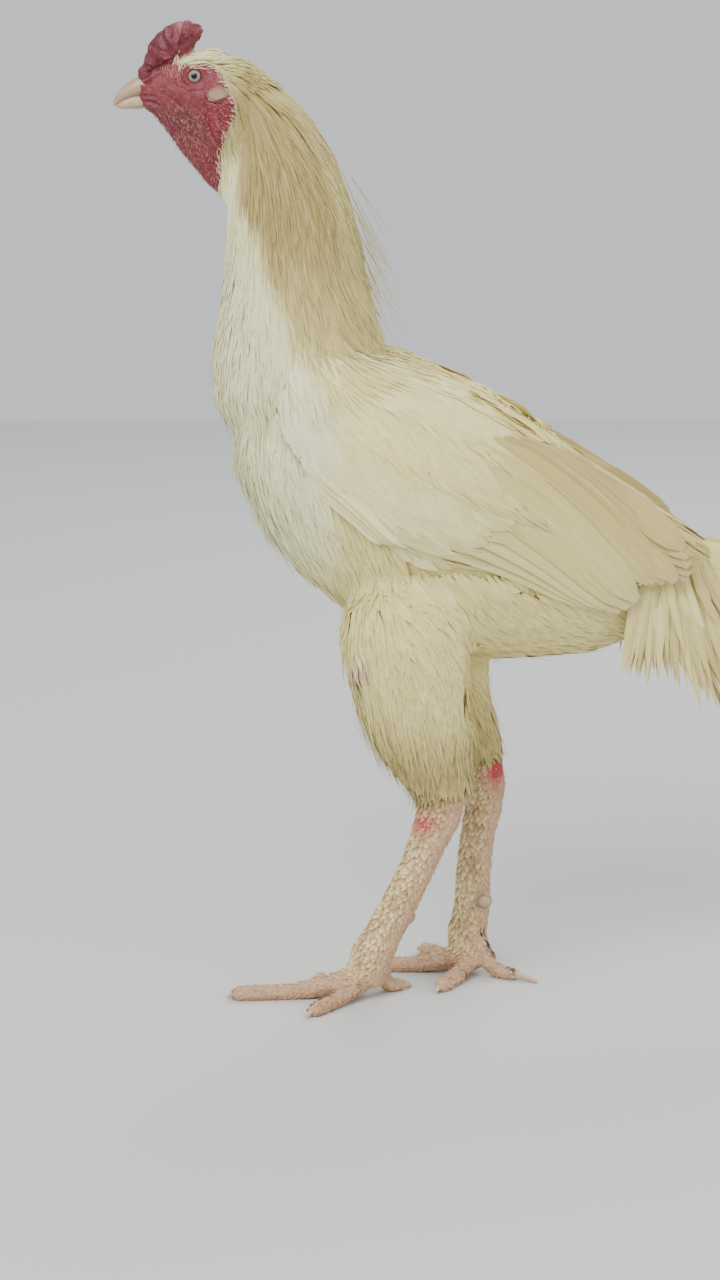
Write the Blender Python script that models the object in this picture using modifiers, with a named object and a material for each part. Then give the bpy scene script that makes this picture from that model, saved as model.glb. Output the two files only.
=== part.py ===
"""A game-fowl cock of the tall, hard-feathered kind, standing with its left foot forward.

Metres, +Z up, beak towards -X, the bird's left side towards -Y. The origin is on the floor,
under the middle of the bounding box. Each solid is the outline of its part with its feathers.
The tables below are in millimetres, measured from a point on the floor under the crop."""

import math

import bmesh
import bpy
import numpy as np
from mathutils import Vector

MM = 0.001
GAP = 0.3 * MM  # left between touching parts

UP = Vector((0, 0, 1))
FRONT = Vector((-1, 0, 0))
THROAT = Vector((-1, 0, -1))  # the side of the neck that faces forward, and down near the head
SIDES = {"left": -1, "right": 1}  # the sign of Y on each side of the bird

# Each row: x, y, z of the centre line, half width, reach above (or in front), reach below
# (or behind), and how far the lower half is pinched in, from 0 to 1.
TRUNK = [
    (-93, 0, 430, 26, 36, 16, 0.0),
    (-78, 0, 420, 46, 60, 40, 0.05),
    (-50, 0, 405, 60, 80, 67, 0.15),
    (-10, 0, 389, 68, 93, 88, 0.2),
    (42, 0, 370, 73, 99, 101, 0.2),
    (95, 0, 352, 71, 90, 102, 0.2),
    (145, 0, 338, 60, 73, 87, 0.25),
    (190, 0, 327, 45, 56, 72, 0.25),
    (226, 0, 321, 31, 37, 48, 0.1),
    (256, 0, 316, 18, 24, 24, 0.0),
]
NECK = [
    (-34, 0, 396, 38, 40, 42, 0.0),
    (-38, 0, 425, 49, 54, 52, 0.0),
    (-43, 0, 462, 54, 67, 64, 0.0),
    (-46, 0, 500, 50, 61, 60, 0.0),
    (-49, 0, 540, 44, 52, 54, 0.0),
    (-52, 0, 575, 40, 47, 50, 0.0),
    (-54, 0, 605, 37, 45, 43, 0.0),
    (-57, 0, 632, 33, 36, 33, 0.0),
    (-66, 0, 658, 27, 26, 20, 0.0),
    (-82, 0, 676, 22.5, 18, 16, 0.0),
    (-104, 0, 686, 19, 12, 16, 0.0),
    (-124, 0, 689, 13, 6, 10.5, 0.0),
]
HEAD = [
    (-72, 0, 668, 18, 16, 20, 0.0),
    (-92, 0, 666, 23, 29, 62, 0.6),
    (-102, 0, 666, 23, 32, 72, 0.64),
    (-118, 0, 668, 20.5, 30, 56, 0.55),
    (-132, 0, 670, 16.5, 24, 40, 0.45),
    (-145, 0, 669, 12, 17.5, 20, 0.3),
    (-153, 0, 668.5, 9.5, 13, 11, 0.1),
    (-159, 0, 668.5, 7.5, 9.5, 9, 0.0),
]
COMB = [
    (-160, 0, 677, 5, 5, 6, 0.0),
    (-153, 0, 688, 8.5, 9.5, 9, 0.0),
    (-146, 0, 697, 10.5, 13, 12, 0.0),
    (-138, 0, 703, 11, 15, 14, 0.0),
    (-129, 0, 707, 10, 14.5, 14, 0.0),
    (-121, 0, 711, 8, 9.5, 11, 0.0),
    (-112, 0, 713.5, 4, 4, 4, 0.0),
]
BEAK_UPPER = [
    (-150, 0, 673, 8.5, 8.5, 5, 0.0),
    (-160, 0, 672.5, 7.6, 7.6, 5.2, 0.0),
    (-168, 0, 671, 5.8, 6.0, 5.6, 0.0),
    (-174, 0, 667.5, 3.8, 4.4, 4.4, 0.0),
    (-178, 0, 662.5, 1.5, 1.6, 1.9, 0.0),
]
BEAK_LOWER = [
    (-148, 0, 663.5, 7.8, 3.5, 6.5, 0.0),
    (-160, 0, 663, 6.6, 3.2, 5.3, 0.0),
    (-168, 0, 661.8, 4.8, 2.8, 3.8, 0.0),
    (-175.5, 0, 660.2, 2, 1.4, 1.6, 0.0),
]
TRUNK_LINE = (1, 0, -0.24)
# The legs run downwards, so these reach in front and behind. The left leg steps forward.
THIGHS = {
    "left": [
        (30, -40, 318, 30, 40, 40, 0.0),
        (33, -46, 285, 36, 50, 48, 0.0),
        (36, -46, 252, 34, 46, 46, 0.0),
        (44, -44, 220, 29, 43, 38, 0.0),
        (52, -41, 192, 24, 36, 34, 0.0),
        (60, -38, 168, 19, 26, 25, 0.0),
        (63, -36, 148, 15.5, 20, 19, 0.0),
    ],
    "right": [
        (62, 40, 318, 30, 40, 40, 0.0),
        (66, 46, 285, 36, 48, 42, 0.0),
        (68, 46, 252, 34, 42, 32, 0.0),
        (74, 44, 220, 29, 36, 25, 0.0),
        (82, 41, 195, 24, 28, 23, 0.0),
        (91, 38, 179, 19, 21, 19, 0.0),
        (95, 36, 166, 15.5, 17, 16, 0.0),
    ],
}
SHANKS = {
    "left": [
        (66, -36.5, 166, 11, 13, 13, 0.0),
        (62, -36, 150, 13, 18, 18, 0.0),
        (54, -35.5, 130, 11.5, 15, 15, 0.0),
        (44, -35, 104, 10.5, 13.2, 13.2, 0.0),
        (31, -34.5, 76, 10.5, 13.2, 13.2, 0.0),
        (18, -34, 50, 11, 14, 14, 0.0),
        (8, -33.5, 28, 12.5, 17, 15, 0.0),
        (2, -33, 9, 13, 15, 14, 0.0),
    ],
    "right": [
        (95, 37, 172, 11, 12, 12, 0.0),
        (95, 36, 156, 13, 16, 16, 0.0),
        (95, 35, 134, 11.5, 14.5, 14.5, 0.0),
        (90, 33, 108, 10, 13, 13, 0.0),
        (87, 31.5, 80, 10.5, 13.2, 13.2, 0.0),
        (86, 30, 52, 11, 13.5, 13.5, 0.0),
        (83, 29, 30, 12.5, 16, 14, 0.0),
        (84, 28, 9, 13, 15, 13, 0.0),
    ],
}
# Each toe: root x, y, z, heading in degrees from the beak's side round to the right of the
# bird, length of the flesh, radius at its root, number of pads under it, and claw length.
TOES = {
    "left": {
        "hind": (12, -27, 24, 148, 25, 6.6, 2, 6),
        "inner": (0, -31, 13, 42, 45, 7.2, 2, 8),
        "middle": (0, -33, 15, -5, 96, 7.8, 3, 6),
        "outer": (0, -35, 13, -53, 60, 7.2, 3, 8),
    },
    "right": {
        "hind": (90, 23, 24, 208, 34, 6.4, 2, 16),
        "inner": (85, 25, 13, -63, 56, 7.6, 2, 8),
        "middle": (84, 28, 15, 3, 86, 7.8, 3, 8),
        "outer": (84, 31, 13, 52, 58, 7.2, 3, 8),
    },
}
TOE_RISE = 0.78  # height of a toe's centre line, in its radii: the rest is the flat it stands on
TOE_ROOT = 0.45  # how much thicker a toe is where it leaves the foot

EYE_AT, EYE_RADIUS = (-118, 12.8, 680.5), 6.6
LOBE_AT, LOBE_SIZE = (-103, 20.5, 668.6), (7.3, 4.0, 4.6)
LOBE_TILT = math.radians(-24)

# Spurs: shank height, radius and length. They grow on the inner side, a little to the back.
SPUR = {"left": (34, -26, 60), "right": (93, 22, 60)}
CLAW_RADIUS = 3.0
SPUR_ROOT, SPUR_TIP, SPUR_LENGTH = 6.8, 4.8, 11

# The folded wing, along a line from the bend of the wing to the tip of the flight feathers.
# Each row: distance along, reach above and below the line, distance from the middle plane,
# half thickness, and how far the top edge leans in over the back.
WING_START, WING_FALL = (-58, 458), math.radians(24.8)
WING = [
    (2, 25, 16, 60, 4, 8),
    (20, 43, 30, 67, 7, 20),
    (50, 53, 46, 74, 8.5, 34),
    (85, 58, 57, 78, 9, 43),
    (120, 61, 63, 79, 9, 46),
    (155, 59, 62, 76, 8, 44),
    (190, 54, 58, 70, 7, 39),
    (222, 46, 51, 63, 6, 32),
    (255, 36, 41, 56, 5, 24),
    (285, 24, 29, 50, 4, 15),
    (305, 12, 17, 47, 3, 8),
    (319, 2, 4, 45, 1.5, 3),
]
# The primaries below the wing's rear edge, in the same terms.
PRIMARIES = [
    (146, -50, 60, 69.5, 2.0, 0),
    (180, -49, 62, 64.5, 2.5, 0),
    (215, -45, 57, 58.8, 2.5, 0),
    (250, -38, 52, 52.6, 2.5, 0),
    (275, -32, 49.5, 48.8, 2.2, 0),
    (290, -31, 44, 47, 1.8, 0),
    (298, -34, 38, 46, 1, 0),
]

# Tail: two upright fans of long feathers side by side, a pair of curved sickles over them,
# and the long saddle feathers that hang down on each side of its root.
TAIL_ROOT = (230, 324)
FAN_FEATHERS, FAN_INNER, FAN_THICK = 6, 12, 2.4
FAN_TOP, FAN_BOTTOM = math.radians(19), math.radians(58)  # below the horizontal
FAN_LONGEST, FAN_SHORTEST = 200, 135
FAN_SAG = 22
SICKLE = [
    (226, 7, 343, 3.5, 2, 2, 0.0),
    (258, 10, 336, 3.0, 7, 7, 0.0),
    (300, 14, 319, 2.4, 9, 9, 0.0),
    (342, 17, 294, 2.0, 9.5, 9.5, 0.0),
    (382, 19, 259, 1.7, 9, 9, 0.0),
    (414, 20, 214, 1.4, 6.5, 6.5, 0.0),
    (430, 20, 172, 0.9, 2.2, 2.2, 0.0),
]
FRINGE_TIPS, FRINGE_THICK = 7, 3.0


def material(name, colour, roughness):
    """A plain Principled finish."""
    made = bpy.data.materials.new(name)
    made.use_nodes = True
    shader = made.node_tree.nodes["Principled BSDF"]
    shader.inputs["Base Color"].default_value = (*colour, 1)
    shader.inputs["Roughness"].default_value = roughness
    shader.inputs["Metallic"].default_value = 0.0
    return made


def clear_scene():
    for obj in list(bpy.data.objects):
        bpy.data.objects.remove(obj)


def collection(name):
    made = bpy.data.collections.new(name)
    bpy.context.scene.collection.children.link(made)
    return made


def spline(table, at):
    """The rows of the table at parameters 'at', on a smooth curve through every row."""
    rows = np.array(table, float)
    slopes = np.gradient(rows, axis=0)
    index = np.clip(np.floor(at).astype(int), 0, len(rows) - 2)
    t = (at - index)[:, None]
    before, after = rows[index], rows[index + 1]
    return (
        before * (2 * t**3 - 3 * t**2 + 1)
        + slopes[index] * (t**3 - 2 * t**2 + t)
        + after * (3 * t**2 - 2 * t**3)
        + slopes[index + 1] * (t**3 - t**2)
    )


def even_rows(table, rows, round_start, round_end):
    """Rows at even distances along the table's centre line, crowded towards each rounded end,
    and the share of full size that each has there."""
    fine = spline(table, np.linspace(0, len(table) - 1, 400))
    steps = np.linalg.norm(np.diff(fine[:, :3], axis=0), axis=1)
    run = np.concatenate([[0], np.cumsum(steps)])
    ends = np.radians([28, 56, 80])
    start = round_start * (1 - np.cos(ends)) if round_start else np.zeros(1)
    end = run[-1] - round_end * (1 - np.cos(ends[::-1])) if round_end else run[-1:]
    middle = np.linspace(start[-1], end[0], rows + 2)[1:-1]
    distance = np.concatenate([start, middle, end])
    share = np.ones(len(distance))
    for length, inward in ((round_start, distance), (round_end, run[-1] - distance)):
        if length:
            share *= np.sqrt(1 - np.clip(1 - inward / length, 0, 1) ** 2)
    placed = np.stack([np.interp(distance, run, fine[:, k]) for k in range(fine.shape[1])], 1)
    return placed, share, fine[0, :3], fine[-1, :3]


def skin_rings(name, rings, poles, finish, parent):
    """An object closed over a row of rings of points, with a point at each end."""
    origin = Vector(poles[0])
    bm = bmesh.new()
    loops = [[bm.verts.new(Vector(p) - origin) for p in ring] for ring in rings]
    count = len(loops[0])
    for one, two in zip(loops, loops[1:]):
        for k in range(count):
            n = (k + 1) % count
            bm.faces.new((one[k], one[n], two[n], two[k]))
    for loop, pole in ((loops[0], poles[0]), (loops[-1], poles[1])):
        tip = bm.verts.new(Vector(pole) - origin)
        for k in range(count):
            bm.faces.new((loop[k], loop[(k + 1) % count], tip))
    bmesh.ops.recalc_face_normals(bm, faces=bm.faces)
    return new_object(name, bm, finish, parent, origin)


def new_object(name, bm, finish, parent, origin=(0, 0, 0)):
    """An object from the bmesh, all in triangles, as a cut needs flat faces."""
    bmesh.ops.triangulate(bm, faces=bm.faces)
    mesh = bpy.data.meshes.new(name)
    bm.to_mesh(mesh)
    bm.free()
    obj = bpy.data.objects.new(name, mesh)
    obj.location = origin
    obj.parent = parent["root"]
    mesh.materials.append(finish)
    mesh.shade_smooth()
    mesh.set_sharp_from_angle(angle=math.radians(50))
    parent["parts"].objects.link(obj)
    return obj


def loft(
    name, table, finish, parent, upright=UP, facing=None,
    ring=14, rows=8, round_start=0, round_end=0, ripple=(0, 0), turn=0.0,
):
    """A closed body round a centre line, oval across, with rounded or drawn-out ends. Its
    sections lie square to the line, or to 'facing' where that is given. 'turn' shifts the
    points of each ring by a share of a step, so that they miss those of a neighbour."""
    table = [tuple(v * MM for v in row[:6]) + (row[6],) for row in table]
    placed, share, first, last = even_rows(table, rows, round_start * MM, round_end * MM)
    tangents = np.gradient(placed[:, :3], axis=0)
    angles = (np.arange(ring) + turn) * 2 * math.pi / ring
    rings = []
    for row, tangent, size in zip(placed, tangents, share):
        along = Vector(facing or tangent).normalized()
        side = upright.cross(along).normalized()
        above = along.cross(side)
        centre = Vector(row[:3])
        points = []
        for a in angles:
            lobes = 1 + ripple[1] * math.cos(ripple[0] * a)
            sine = math.sin(a)
            reach = row[4] if sine > 0 else row[5]
            width = row[3] * (1 - row[6] * max(0.0, -sine) ** 1.5)
            points.append(centre + (side * math.cos(a) * width + above * sine * reach) * size * lobes)
        rings.append(points)
    return skin_rings(name, rings, (first, last), finish, parent)


def wing_point(along, across, out, sign):
    """A place on the folded wing from its distance along and above the wing's line."""
    x = WING_START[0] + along * math.cos(WING_FALL) + across * math.sin(WING_FALL)
    z = WING_START[1] - along * math.sin(WING_FALL) + across * math.cos(WING_FALL)
    return Vector((x, sign * out, z)) * MM


def wing_blade(name, table, sign, finish, parent, ring=12, rows=10):
    """A thin curved body that lies along the flank, from a table of WING's kind."""
    placed = spline(table, np.linspace(0, len(table) - 1, rows))
    rings = []
    for along, top, bottom, out, thick, lean in placed:
        middle, half = (top - bottom) / 2, (top + bottom) / 2
        points = []
        for k in range(ring):
            a = 2 * math.pi * k / ring
            share = math.sin(a)
            inward = lean * max(0.0, share) ** 2 + 0.2 * lean * max(0.0, -share) ** 2
            points.append(
                wing_point(along, middle + half * share, out - inward + thick * math.cos(a), sign)
            )
        rings.append(points)
    poles = []
    for row, step in ((placed[0], -1), (placed[-1], 1)):
        poles.append(wing_point(row[0] + step, (row[1] - row[2]) / 2, row[3], sign))
    return skin_rings(name, rings, poles, finish, parent)


def sheet(name, place, columns, rows, thick, finish, parent):
    """A thin solid from a grid: place(u, v) gives a point for u across and v along, 0 to 1."""
    bm = bmesh.new()
    bmesh.ops.create_grid(bm, x_segments=columns, y_segments=rows, size=0.5)
    for vert in bm.verts:
        vert.co = Vector(place(vert.co.x + 0.5, vert.co.y + 0.5)) * MM
    obj = new_object(name, bm, finish, parent)
    shell = obj.modifiers.new("Thickness", "SOLIDIFY")
    shell.thickness = thick * MM
    shell.offset = 0
    obj.modifiers.new("Flat faces", "TRIANGULATE")
    return obj


def tooth(u, count):
    """0 in the middle of each of 'count' feathers across a sheet, 1 on the line between two."""
    return abs(2 * ((u * count) % 1.0) - 1) if 0 < u < 1 else 1.0


def fan_place(sign):
    def place(u, v):
        angle = FAN_TOP + (FAN_BOTTOM - FAN_TOP) * u
        length = FAN_LONGEST + (FAN_SHORTEST - FAN_LONGEST) * u
        reach = FAN_INNER + (length * (1 - 0.11 * tooth(u, FAN_FEATHERS) ** 2) - FAN_INNER) * v
        x = TAIL_ROOT[0] + reach * math.cos(angle)
        z = TAIL_ROOT[1] - reach * math.sin(angle) - FAN_SAG * (reach / FAN_LONGEST) ** 2
        ridge = 1.2 * (1 - tooth(u, FAN_FEATHERS)) * v
        return x, sign * (3.4 + 7 * u + ridge), z

    return place


def fringe_place(sign):
    def place(u, v):
        tip = 240 - 27 * math.sin(math.pi * min(1.0, 1.1 * u)) + 13 * tooth(u, FRINGE_TIPS)
        x = 204 + 54 * u + (-12 + 62 * u) * v**1.5
        z = (344 - 12 * u) * (1 - v) + tip * v
        out = 33 - 11 * u + 8 * math.sin(math.pi * v) * (1 - 0.4 * u)
        return x, sign * out, z

    return place


def grown(obj, parent):
    """A hidden copy of the body as first made, larger by the gap all round, to cut with."""
    name = obj.name + "_cutter"
    found = bpy.data.objects.get(name)
    if found:
        return found
    cutter = bpy.data.objects.new(name, obj.data)
    cutter.location = obj.location
    cutter.rotation_euler = obj.rotation_euler
    cutter.parent = parent["root"]
    swell = cutter.modifiers.new("Gap", "DISPLACE")
    swell.strength = GAP
    swell.mid_level = 0
    cutter.hide_render = True
    cutter.display_type = "WIRE"
    parent["cutters"].objects.link(cutter)
    return cutter


def cut(obj, *others, parent):
    """Cuts each of the others, with its gap, out of the body."""
    for other in others:
        knife = obj.modifiers.new("Cut " + other.name, "BOOLEAN")
        knife.operation = "DIFFERENCE"
        knife.solver = "EXACT"
        knife.object = other if other.hide_render else grown(other, parent)


def floor_block(parent):
    """The ground, as a cutter that flattens the soles."""
    bm = bmesh.new()
    bmesh.ops.create_cube(bm, size=1)
    mesh = bpy.data.meshes.new("floor_cutter")
    bm.to_mesh(mesh)
    bm.free()
    block = bpy.data.objects.new("floor_cutter", mesh)
    block.scale = (0.8, 0.6, 0.1)
    block.location = (0, 0, -0.05)
    block.parent = parent["root"]
    block.hide_render = True
    block.display_type = "WIRE"
    parent["cutters"].objects.link(block)
    return block


def ball(name, at, radius, finish, parent, tilt=0.0, segments=8, rings=5):
    """A round or oval body, with one radius for each axis."""
    bm = bmesh.new()
    bmesh.ops.create_uvsphere(bm, u_segments=segments, v_segments=rings, radius=1)
    for vert in bm.verts:
        vert.co = Vector([c * r * MM for c, r in zip(vert.co, radius)])
    obj = new_object(name, bm, finish, parent, Vector(at) * MM)
    obj.rotation_euler.y = tilt
    return obj


def toe_table(spec):
    """The centre line and size of one toe, down from its root and out along the floor."""
    x, y, z, heading, length, radius, pads, _ = spec
    forward = (-math.cos(math.radians(heading)), math.sin(math.radians(heading)))
    table = []
    for k in range(2 * pads + 2):
        share = k / (2 * pads + 1)
        size = radius * (1 - 0.25 * share) * (1.07 if k % 2 else 0.95)
        size *= 1 + TOE_ROOT * max(0.0, 1 - share / 0.5) ** 2
        low = size * TOE_RISE
        height = low + (z - low) * max(0.0, 1 - share / 0.6) ** 2
        spot = (x + forward[0] * length * share, y + forward[1] * length * share, height)
        table.append((*spot, size, size * 0.95, size, 0.0))
    return table, forward


def claw_table(end, forward, length, radius):
    """A claw that runs on from the end of its toe and curves down to the floor."""
    table = []
    for share in (0.0, 0.35, 0.7, 1.0):
        reach = -4 + (length + 4) * share
        height = end[2] + 0.7 - (end[2] - 0.3) * share**2
        size = radius * (1 - 0.86 * share)
        spot = (end[0] + forward[0] * reach, end[1] + forward[1] * reach, height)
        table.append((*spot, size, size, size, 0.0))
    return table


def spur_table(side, sign):
    x, y, z = SPUR[side]
    table = []
    for share in (0.0, 0.4, 0.8, 1.0):
        size = SPUR_ROOT + (SPUR_TIP - SPUR_ROOT) * share
        reach = -5 + (SPUR_LENGTH + 2) * share
        table.append((x + 0.45 * reach, y - sign * 0.85 * reach, z - 0.1 * reach, size, size, size, 0.0))
    return table


def make_head(parent, finish, neck):
    head = loft(
        "head", HEAD, finish["red"], parent, facing=FRONT, ring=14, rows=7, round_start=12, round_end=3
    )
    comb = loft(
        "comb", COMB, finish["red"], parent, facing=FRONT,
        ring=12, rows=6, round_start=3, round_end=3, ripple=(6, 0.08),
    )
    upper = loft("beak_upper", BEAK_UPPER, finish["horn"], parent, ring=8, rows=4, round_end=1.2)
    lower = loft("beak_lower", BEAK_LOWER, finish["horn"], parent, ring=8, rows=3, round_end=1.2)
    cut(comb, head, parent=parent)
    cut(upper, head, comb, parent=parent)
    cut(lower, head, upper, parent=parent)
    cut(head, neck, parent=parent)
    cut(comb, neck, parent=parent)
    for side, sign in SIDES.items():
        at = (EYE_AT[0], sign * EYE_AT[1], EYE_AT[2])
        eye = ball(f"eye_{side}", at, (EYE_RADIUS,) * 3, finish["eye"], parent)
        cut(eye, neck, parent=parent)
        at = (LOBE_AT[0], sign * LOBE_AT[1], LOBE_AT[2])
        lobe = ball(f"earlobe_{side}", at, LOBE_SIZE, finish["lobe"], parent, tilt=LOBE_TILT)
        cut(lobe, neck, parent=parent)
        cut(head, eye, lobe, parent=parent)


def make_foot(side, parent, finish, shank, floor):
    """Four toes and their claws round the foot of one shank."""
    made = []
    for digit, spec in TOES[side].items():
        table, forward = toe_table(spec)
        toe = loft(f"toe_{digit}_{side}", table, finish["scaled"], parent, ring=7, rows=4, round_end=4)
        cut(toe, shank, *made, floor, parent=parent)
        claw_line = claw_table(table[-1], forward, spec[7], CLAW_RADIUS)
        claw = loft(f"claw_{digit}_{side}", claw_line, finish["horn"], parent, ring=5, rows=2)
        cut(claw, toe, floor, parent=parent)
        made.append(toe)


def make_legs(parent, finish, trunk, wings, floor):
    for side, sign in SIDES.items():
        thigh = loft(
            f"thigh_{side}", THIGHS[side], finish["plumage"], parent,
            upright=FRONT, ring=12, rows=6, round_start=20, round_end=5,
        )
        cut(thigh, trunk, *wings, parent=parent)
        shank = loft(
            f"shank_{side}", SHANKS[side], finish["scaled"], parent,
            upright=FRONT, ring=9, rows=7, round_start=6, round_end=5,
        )
        make_foot(side, parent, finish, shank, floor)
        cut(shank, thigh, floor, parent=parent)
        spur = loft(
            f"spur_{side}", spur_table(side, sign), finish["horn"], parent, ring=7, rows=1, round_end=2.5
        )
        cut(spur, shank, parent=parent)


def make_wings(parent, finish):
    made = []
    for side, sign in SIDES.items():
        wing = wing_blade(f"wing_{side}", WING, sign, finish["plumage"], parent)
        flight = wing_blade(
            f"primaries_{side}", PRIMARIES, sign, finish["plumage"], parent, ring=8, rows=8
        )
        cut(flight, wing, parent=parent)
        made += [wing, flight]
    return made


def make_tail(parent, finish, trunk, wings):
    for side, sign in SIDES.items():
        fan = sheet(
            f"tail_{side}", fan_place(sign), 2 * FAN_FEATHERS, 3, FAN_THICK, finish["plumage"], parent
        )
        curve = [(x, sign * y, *rest) for x, y, *rest in SICKLE]
        sickle = loft(f"sickle_{side}", curve, finish["plumage"], parent, ring=6, rows=10)
        fringe = sheet(
            f"saddle_{side}", fringe_place(sign), 2 * FRINGE_TIPS, 4, FRINGE_THICK,
            finish["plumage"], parent,
        )
        cut(fan, trunk, parent=parent)
        cut(sickle, trunk, parent=parent)
        cut(fringe, trunk, *wings, parent=parent)


def stand_on_origin(parent):
    """Moves the bird so that the origin is on the floor under the middle of its box."""
    bpy.context.view_layer.update()
    graph = bpy.context.evaluated_depsgraph_get()
    corners = []
    for obj in parent["parts"].objects:
        shape = obj.evaluated_get(graph)
        corners += [shape.matrix_world @ Vector(c) for c in shape.bound_box]
    low = [min(c[k] for c in corners) for k in range(2)]
    high = [max(c[k] for c in corners) for k in range(2)]
    parent["root"].location = (-(low[0] + high[0]) / 2, -(low[1] + high[1]) / 2, 0)


def main():
    clear_scene()
    parts, cutters = collection("rooster"), collection("cutters")
    root = bpy.data.objects.new("standing_point", None)
    parts.objects.link(root)
    parent = {"root": root, "parts": parts, "cutters": cutters}
    finish = {
        "plumage": material("plumage", (0.78, 0.72, 0.56), 0.8),
        "red": material("bare_red_skin", (0.55, 0.12, 0.13), 0.55),
        "lobe": material("earlobe", (0.75, 0.55, 0.47), 0.5),
        "horn": material("horn", (0.78, 0.62, 0.47), 0.4),
        "scaled": material("scaled_skin", (0.74, 0.55, 0.43), 0.6),
        "eye": material("eye", (0.30, 0.28, 0.17), 0.15),
    }
    floor = floor_block(parent)
    trunk = loft(
        "trunk", TRUNK, finish["plumage"], parent, facing=TRUNK_LINE,
        ring=18, rows=10, round_start=16, round_end=10,
    )
    neck = loft(
        "neck", NECK, finish["plumage"], parent, upright=THROAT,
        ring=16, rows=11, round_start=10, round_end=5, turn=0.5,
    )
    wings = make_wings(parent, finish)
    cut(trunk, *wings, parent=parent)
    cut(neck, trunk, *wings, parent=parent)
    make_head(parent, finish, neck)
    make_legs(parent, finish, trunk, wings, floor)
    make_tail(parent, finish, trunk, wings)
    stand_on_origin(parent)


main()
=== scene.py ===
import itertools
import math

import bmesh
import bpy
import numpy as np
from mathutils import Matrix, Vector, noise
from mathutils.bvhtree import BVHTree


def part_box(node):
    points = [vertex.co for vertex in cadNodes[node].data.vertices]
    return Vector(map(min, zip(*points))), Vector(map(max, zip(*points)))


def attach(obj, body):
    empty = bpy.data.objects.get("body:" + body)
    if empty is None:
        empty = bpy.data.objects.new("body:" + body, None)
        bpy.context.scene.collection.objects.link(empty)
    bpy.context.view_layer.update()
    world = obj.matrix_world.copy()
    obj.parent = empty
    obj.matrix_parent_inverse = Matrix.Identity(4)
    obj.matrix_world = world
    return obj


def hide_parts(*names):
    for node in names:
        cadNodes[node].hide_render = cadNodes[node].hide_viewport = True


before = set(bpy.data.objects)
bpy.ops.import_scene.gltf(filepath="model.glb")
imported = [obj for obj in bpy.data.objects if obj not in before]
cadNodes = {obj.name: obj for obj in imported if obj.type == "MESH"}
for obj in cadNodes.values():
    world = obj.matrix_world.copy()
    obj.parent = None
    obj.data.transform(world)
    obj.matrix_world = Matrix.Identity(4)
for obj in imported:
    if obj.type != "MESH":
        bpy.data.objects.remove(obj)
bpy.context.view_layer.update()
sides = {"left": -1, "right": 1}
millimetre = 0.001

# The bird is laid out in millimetres from a point on the floor between its feet: -X ahead,
# +Z up, its left side at -Y. The eyes of the frame say where that point is.
eyeSpot = np.array((-118.0, 0.0, 680.5))
eyeMiddle = [(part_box(f"eye_{side}")[0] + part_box(f"eye_{side}")[1]) / 2 for side in sides]
birdOrigin = np.array((eyeMiddle[0] + eyeMiddle[1]) / 2) - eyeSpot * millimetre


def toFrame(points):
    return np.asarray(points, float) * millimetre + birdOrigin


def unit(vectors):
    return vectors / np.maximum(np.linalg.norm(vectors, axis=-1, keepdims=True), 1e-9)


def smoothStep(value, low, high):
    t = np.clip((np.asarray(value, float) - low) / (high - low), 0, 1)
    return t * t * (3 - 2 * t)


def bell(distance, width):
    return np.exp(-((distance / width) ** 2))


def lineAt(line, value):
    # The second number of a line of pairs, where the first is this value
    return np.interp(value, *np.array(line, float).T)


def between(pair, share):
    return pair[0] + (pair[1] - pair[0]) * share


def resampled(table, count):
    # The rows of a table at this many even steps
    table = np.array(table, float)
    steps = np.linspace(0, len(table) - 1, count)
    return np.stack([np.interp(steps, range(len(table)), column) for column in table.T], 1)


# Shader maths

class Wire:
    # One output of a shader node, so that sums on it can be written as plain sums.
    def __init__(self, finish, socket):
        self.finish = finish
        self.socket = socket

    def sum(self, operation, first, second=0.0):
        return self.finish.node(
            "ShaderNodeMath", {"operation": operation}, {0: first, 1: second})

    def __add__(self, other):
        return self.sum("ADD", self, other)

    def __radd__(self, other):
        return self.sum("ADD", other, self)

    def __sub__(self, other):
        return self.sum("SUBTRACT", self, other)

    def __rsub__(self, other):
        return self.sum("SUBTRACT", other, self)

    def __mul__(self, other):
        return self.sum("MULTIPLY", self, other)

    def __rmul__(self, other):
        return self.sum("MULTIPLY", other, self)

    def sine(self):
        return self.sum("SINE", self)


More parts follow.
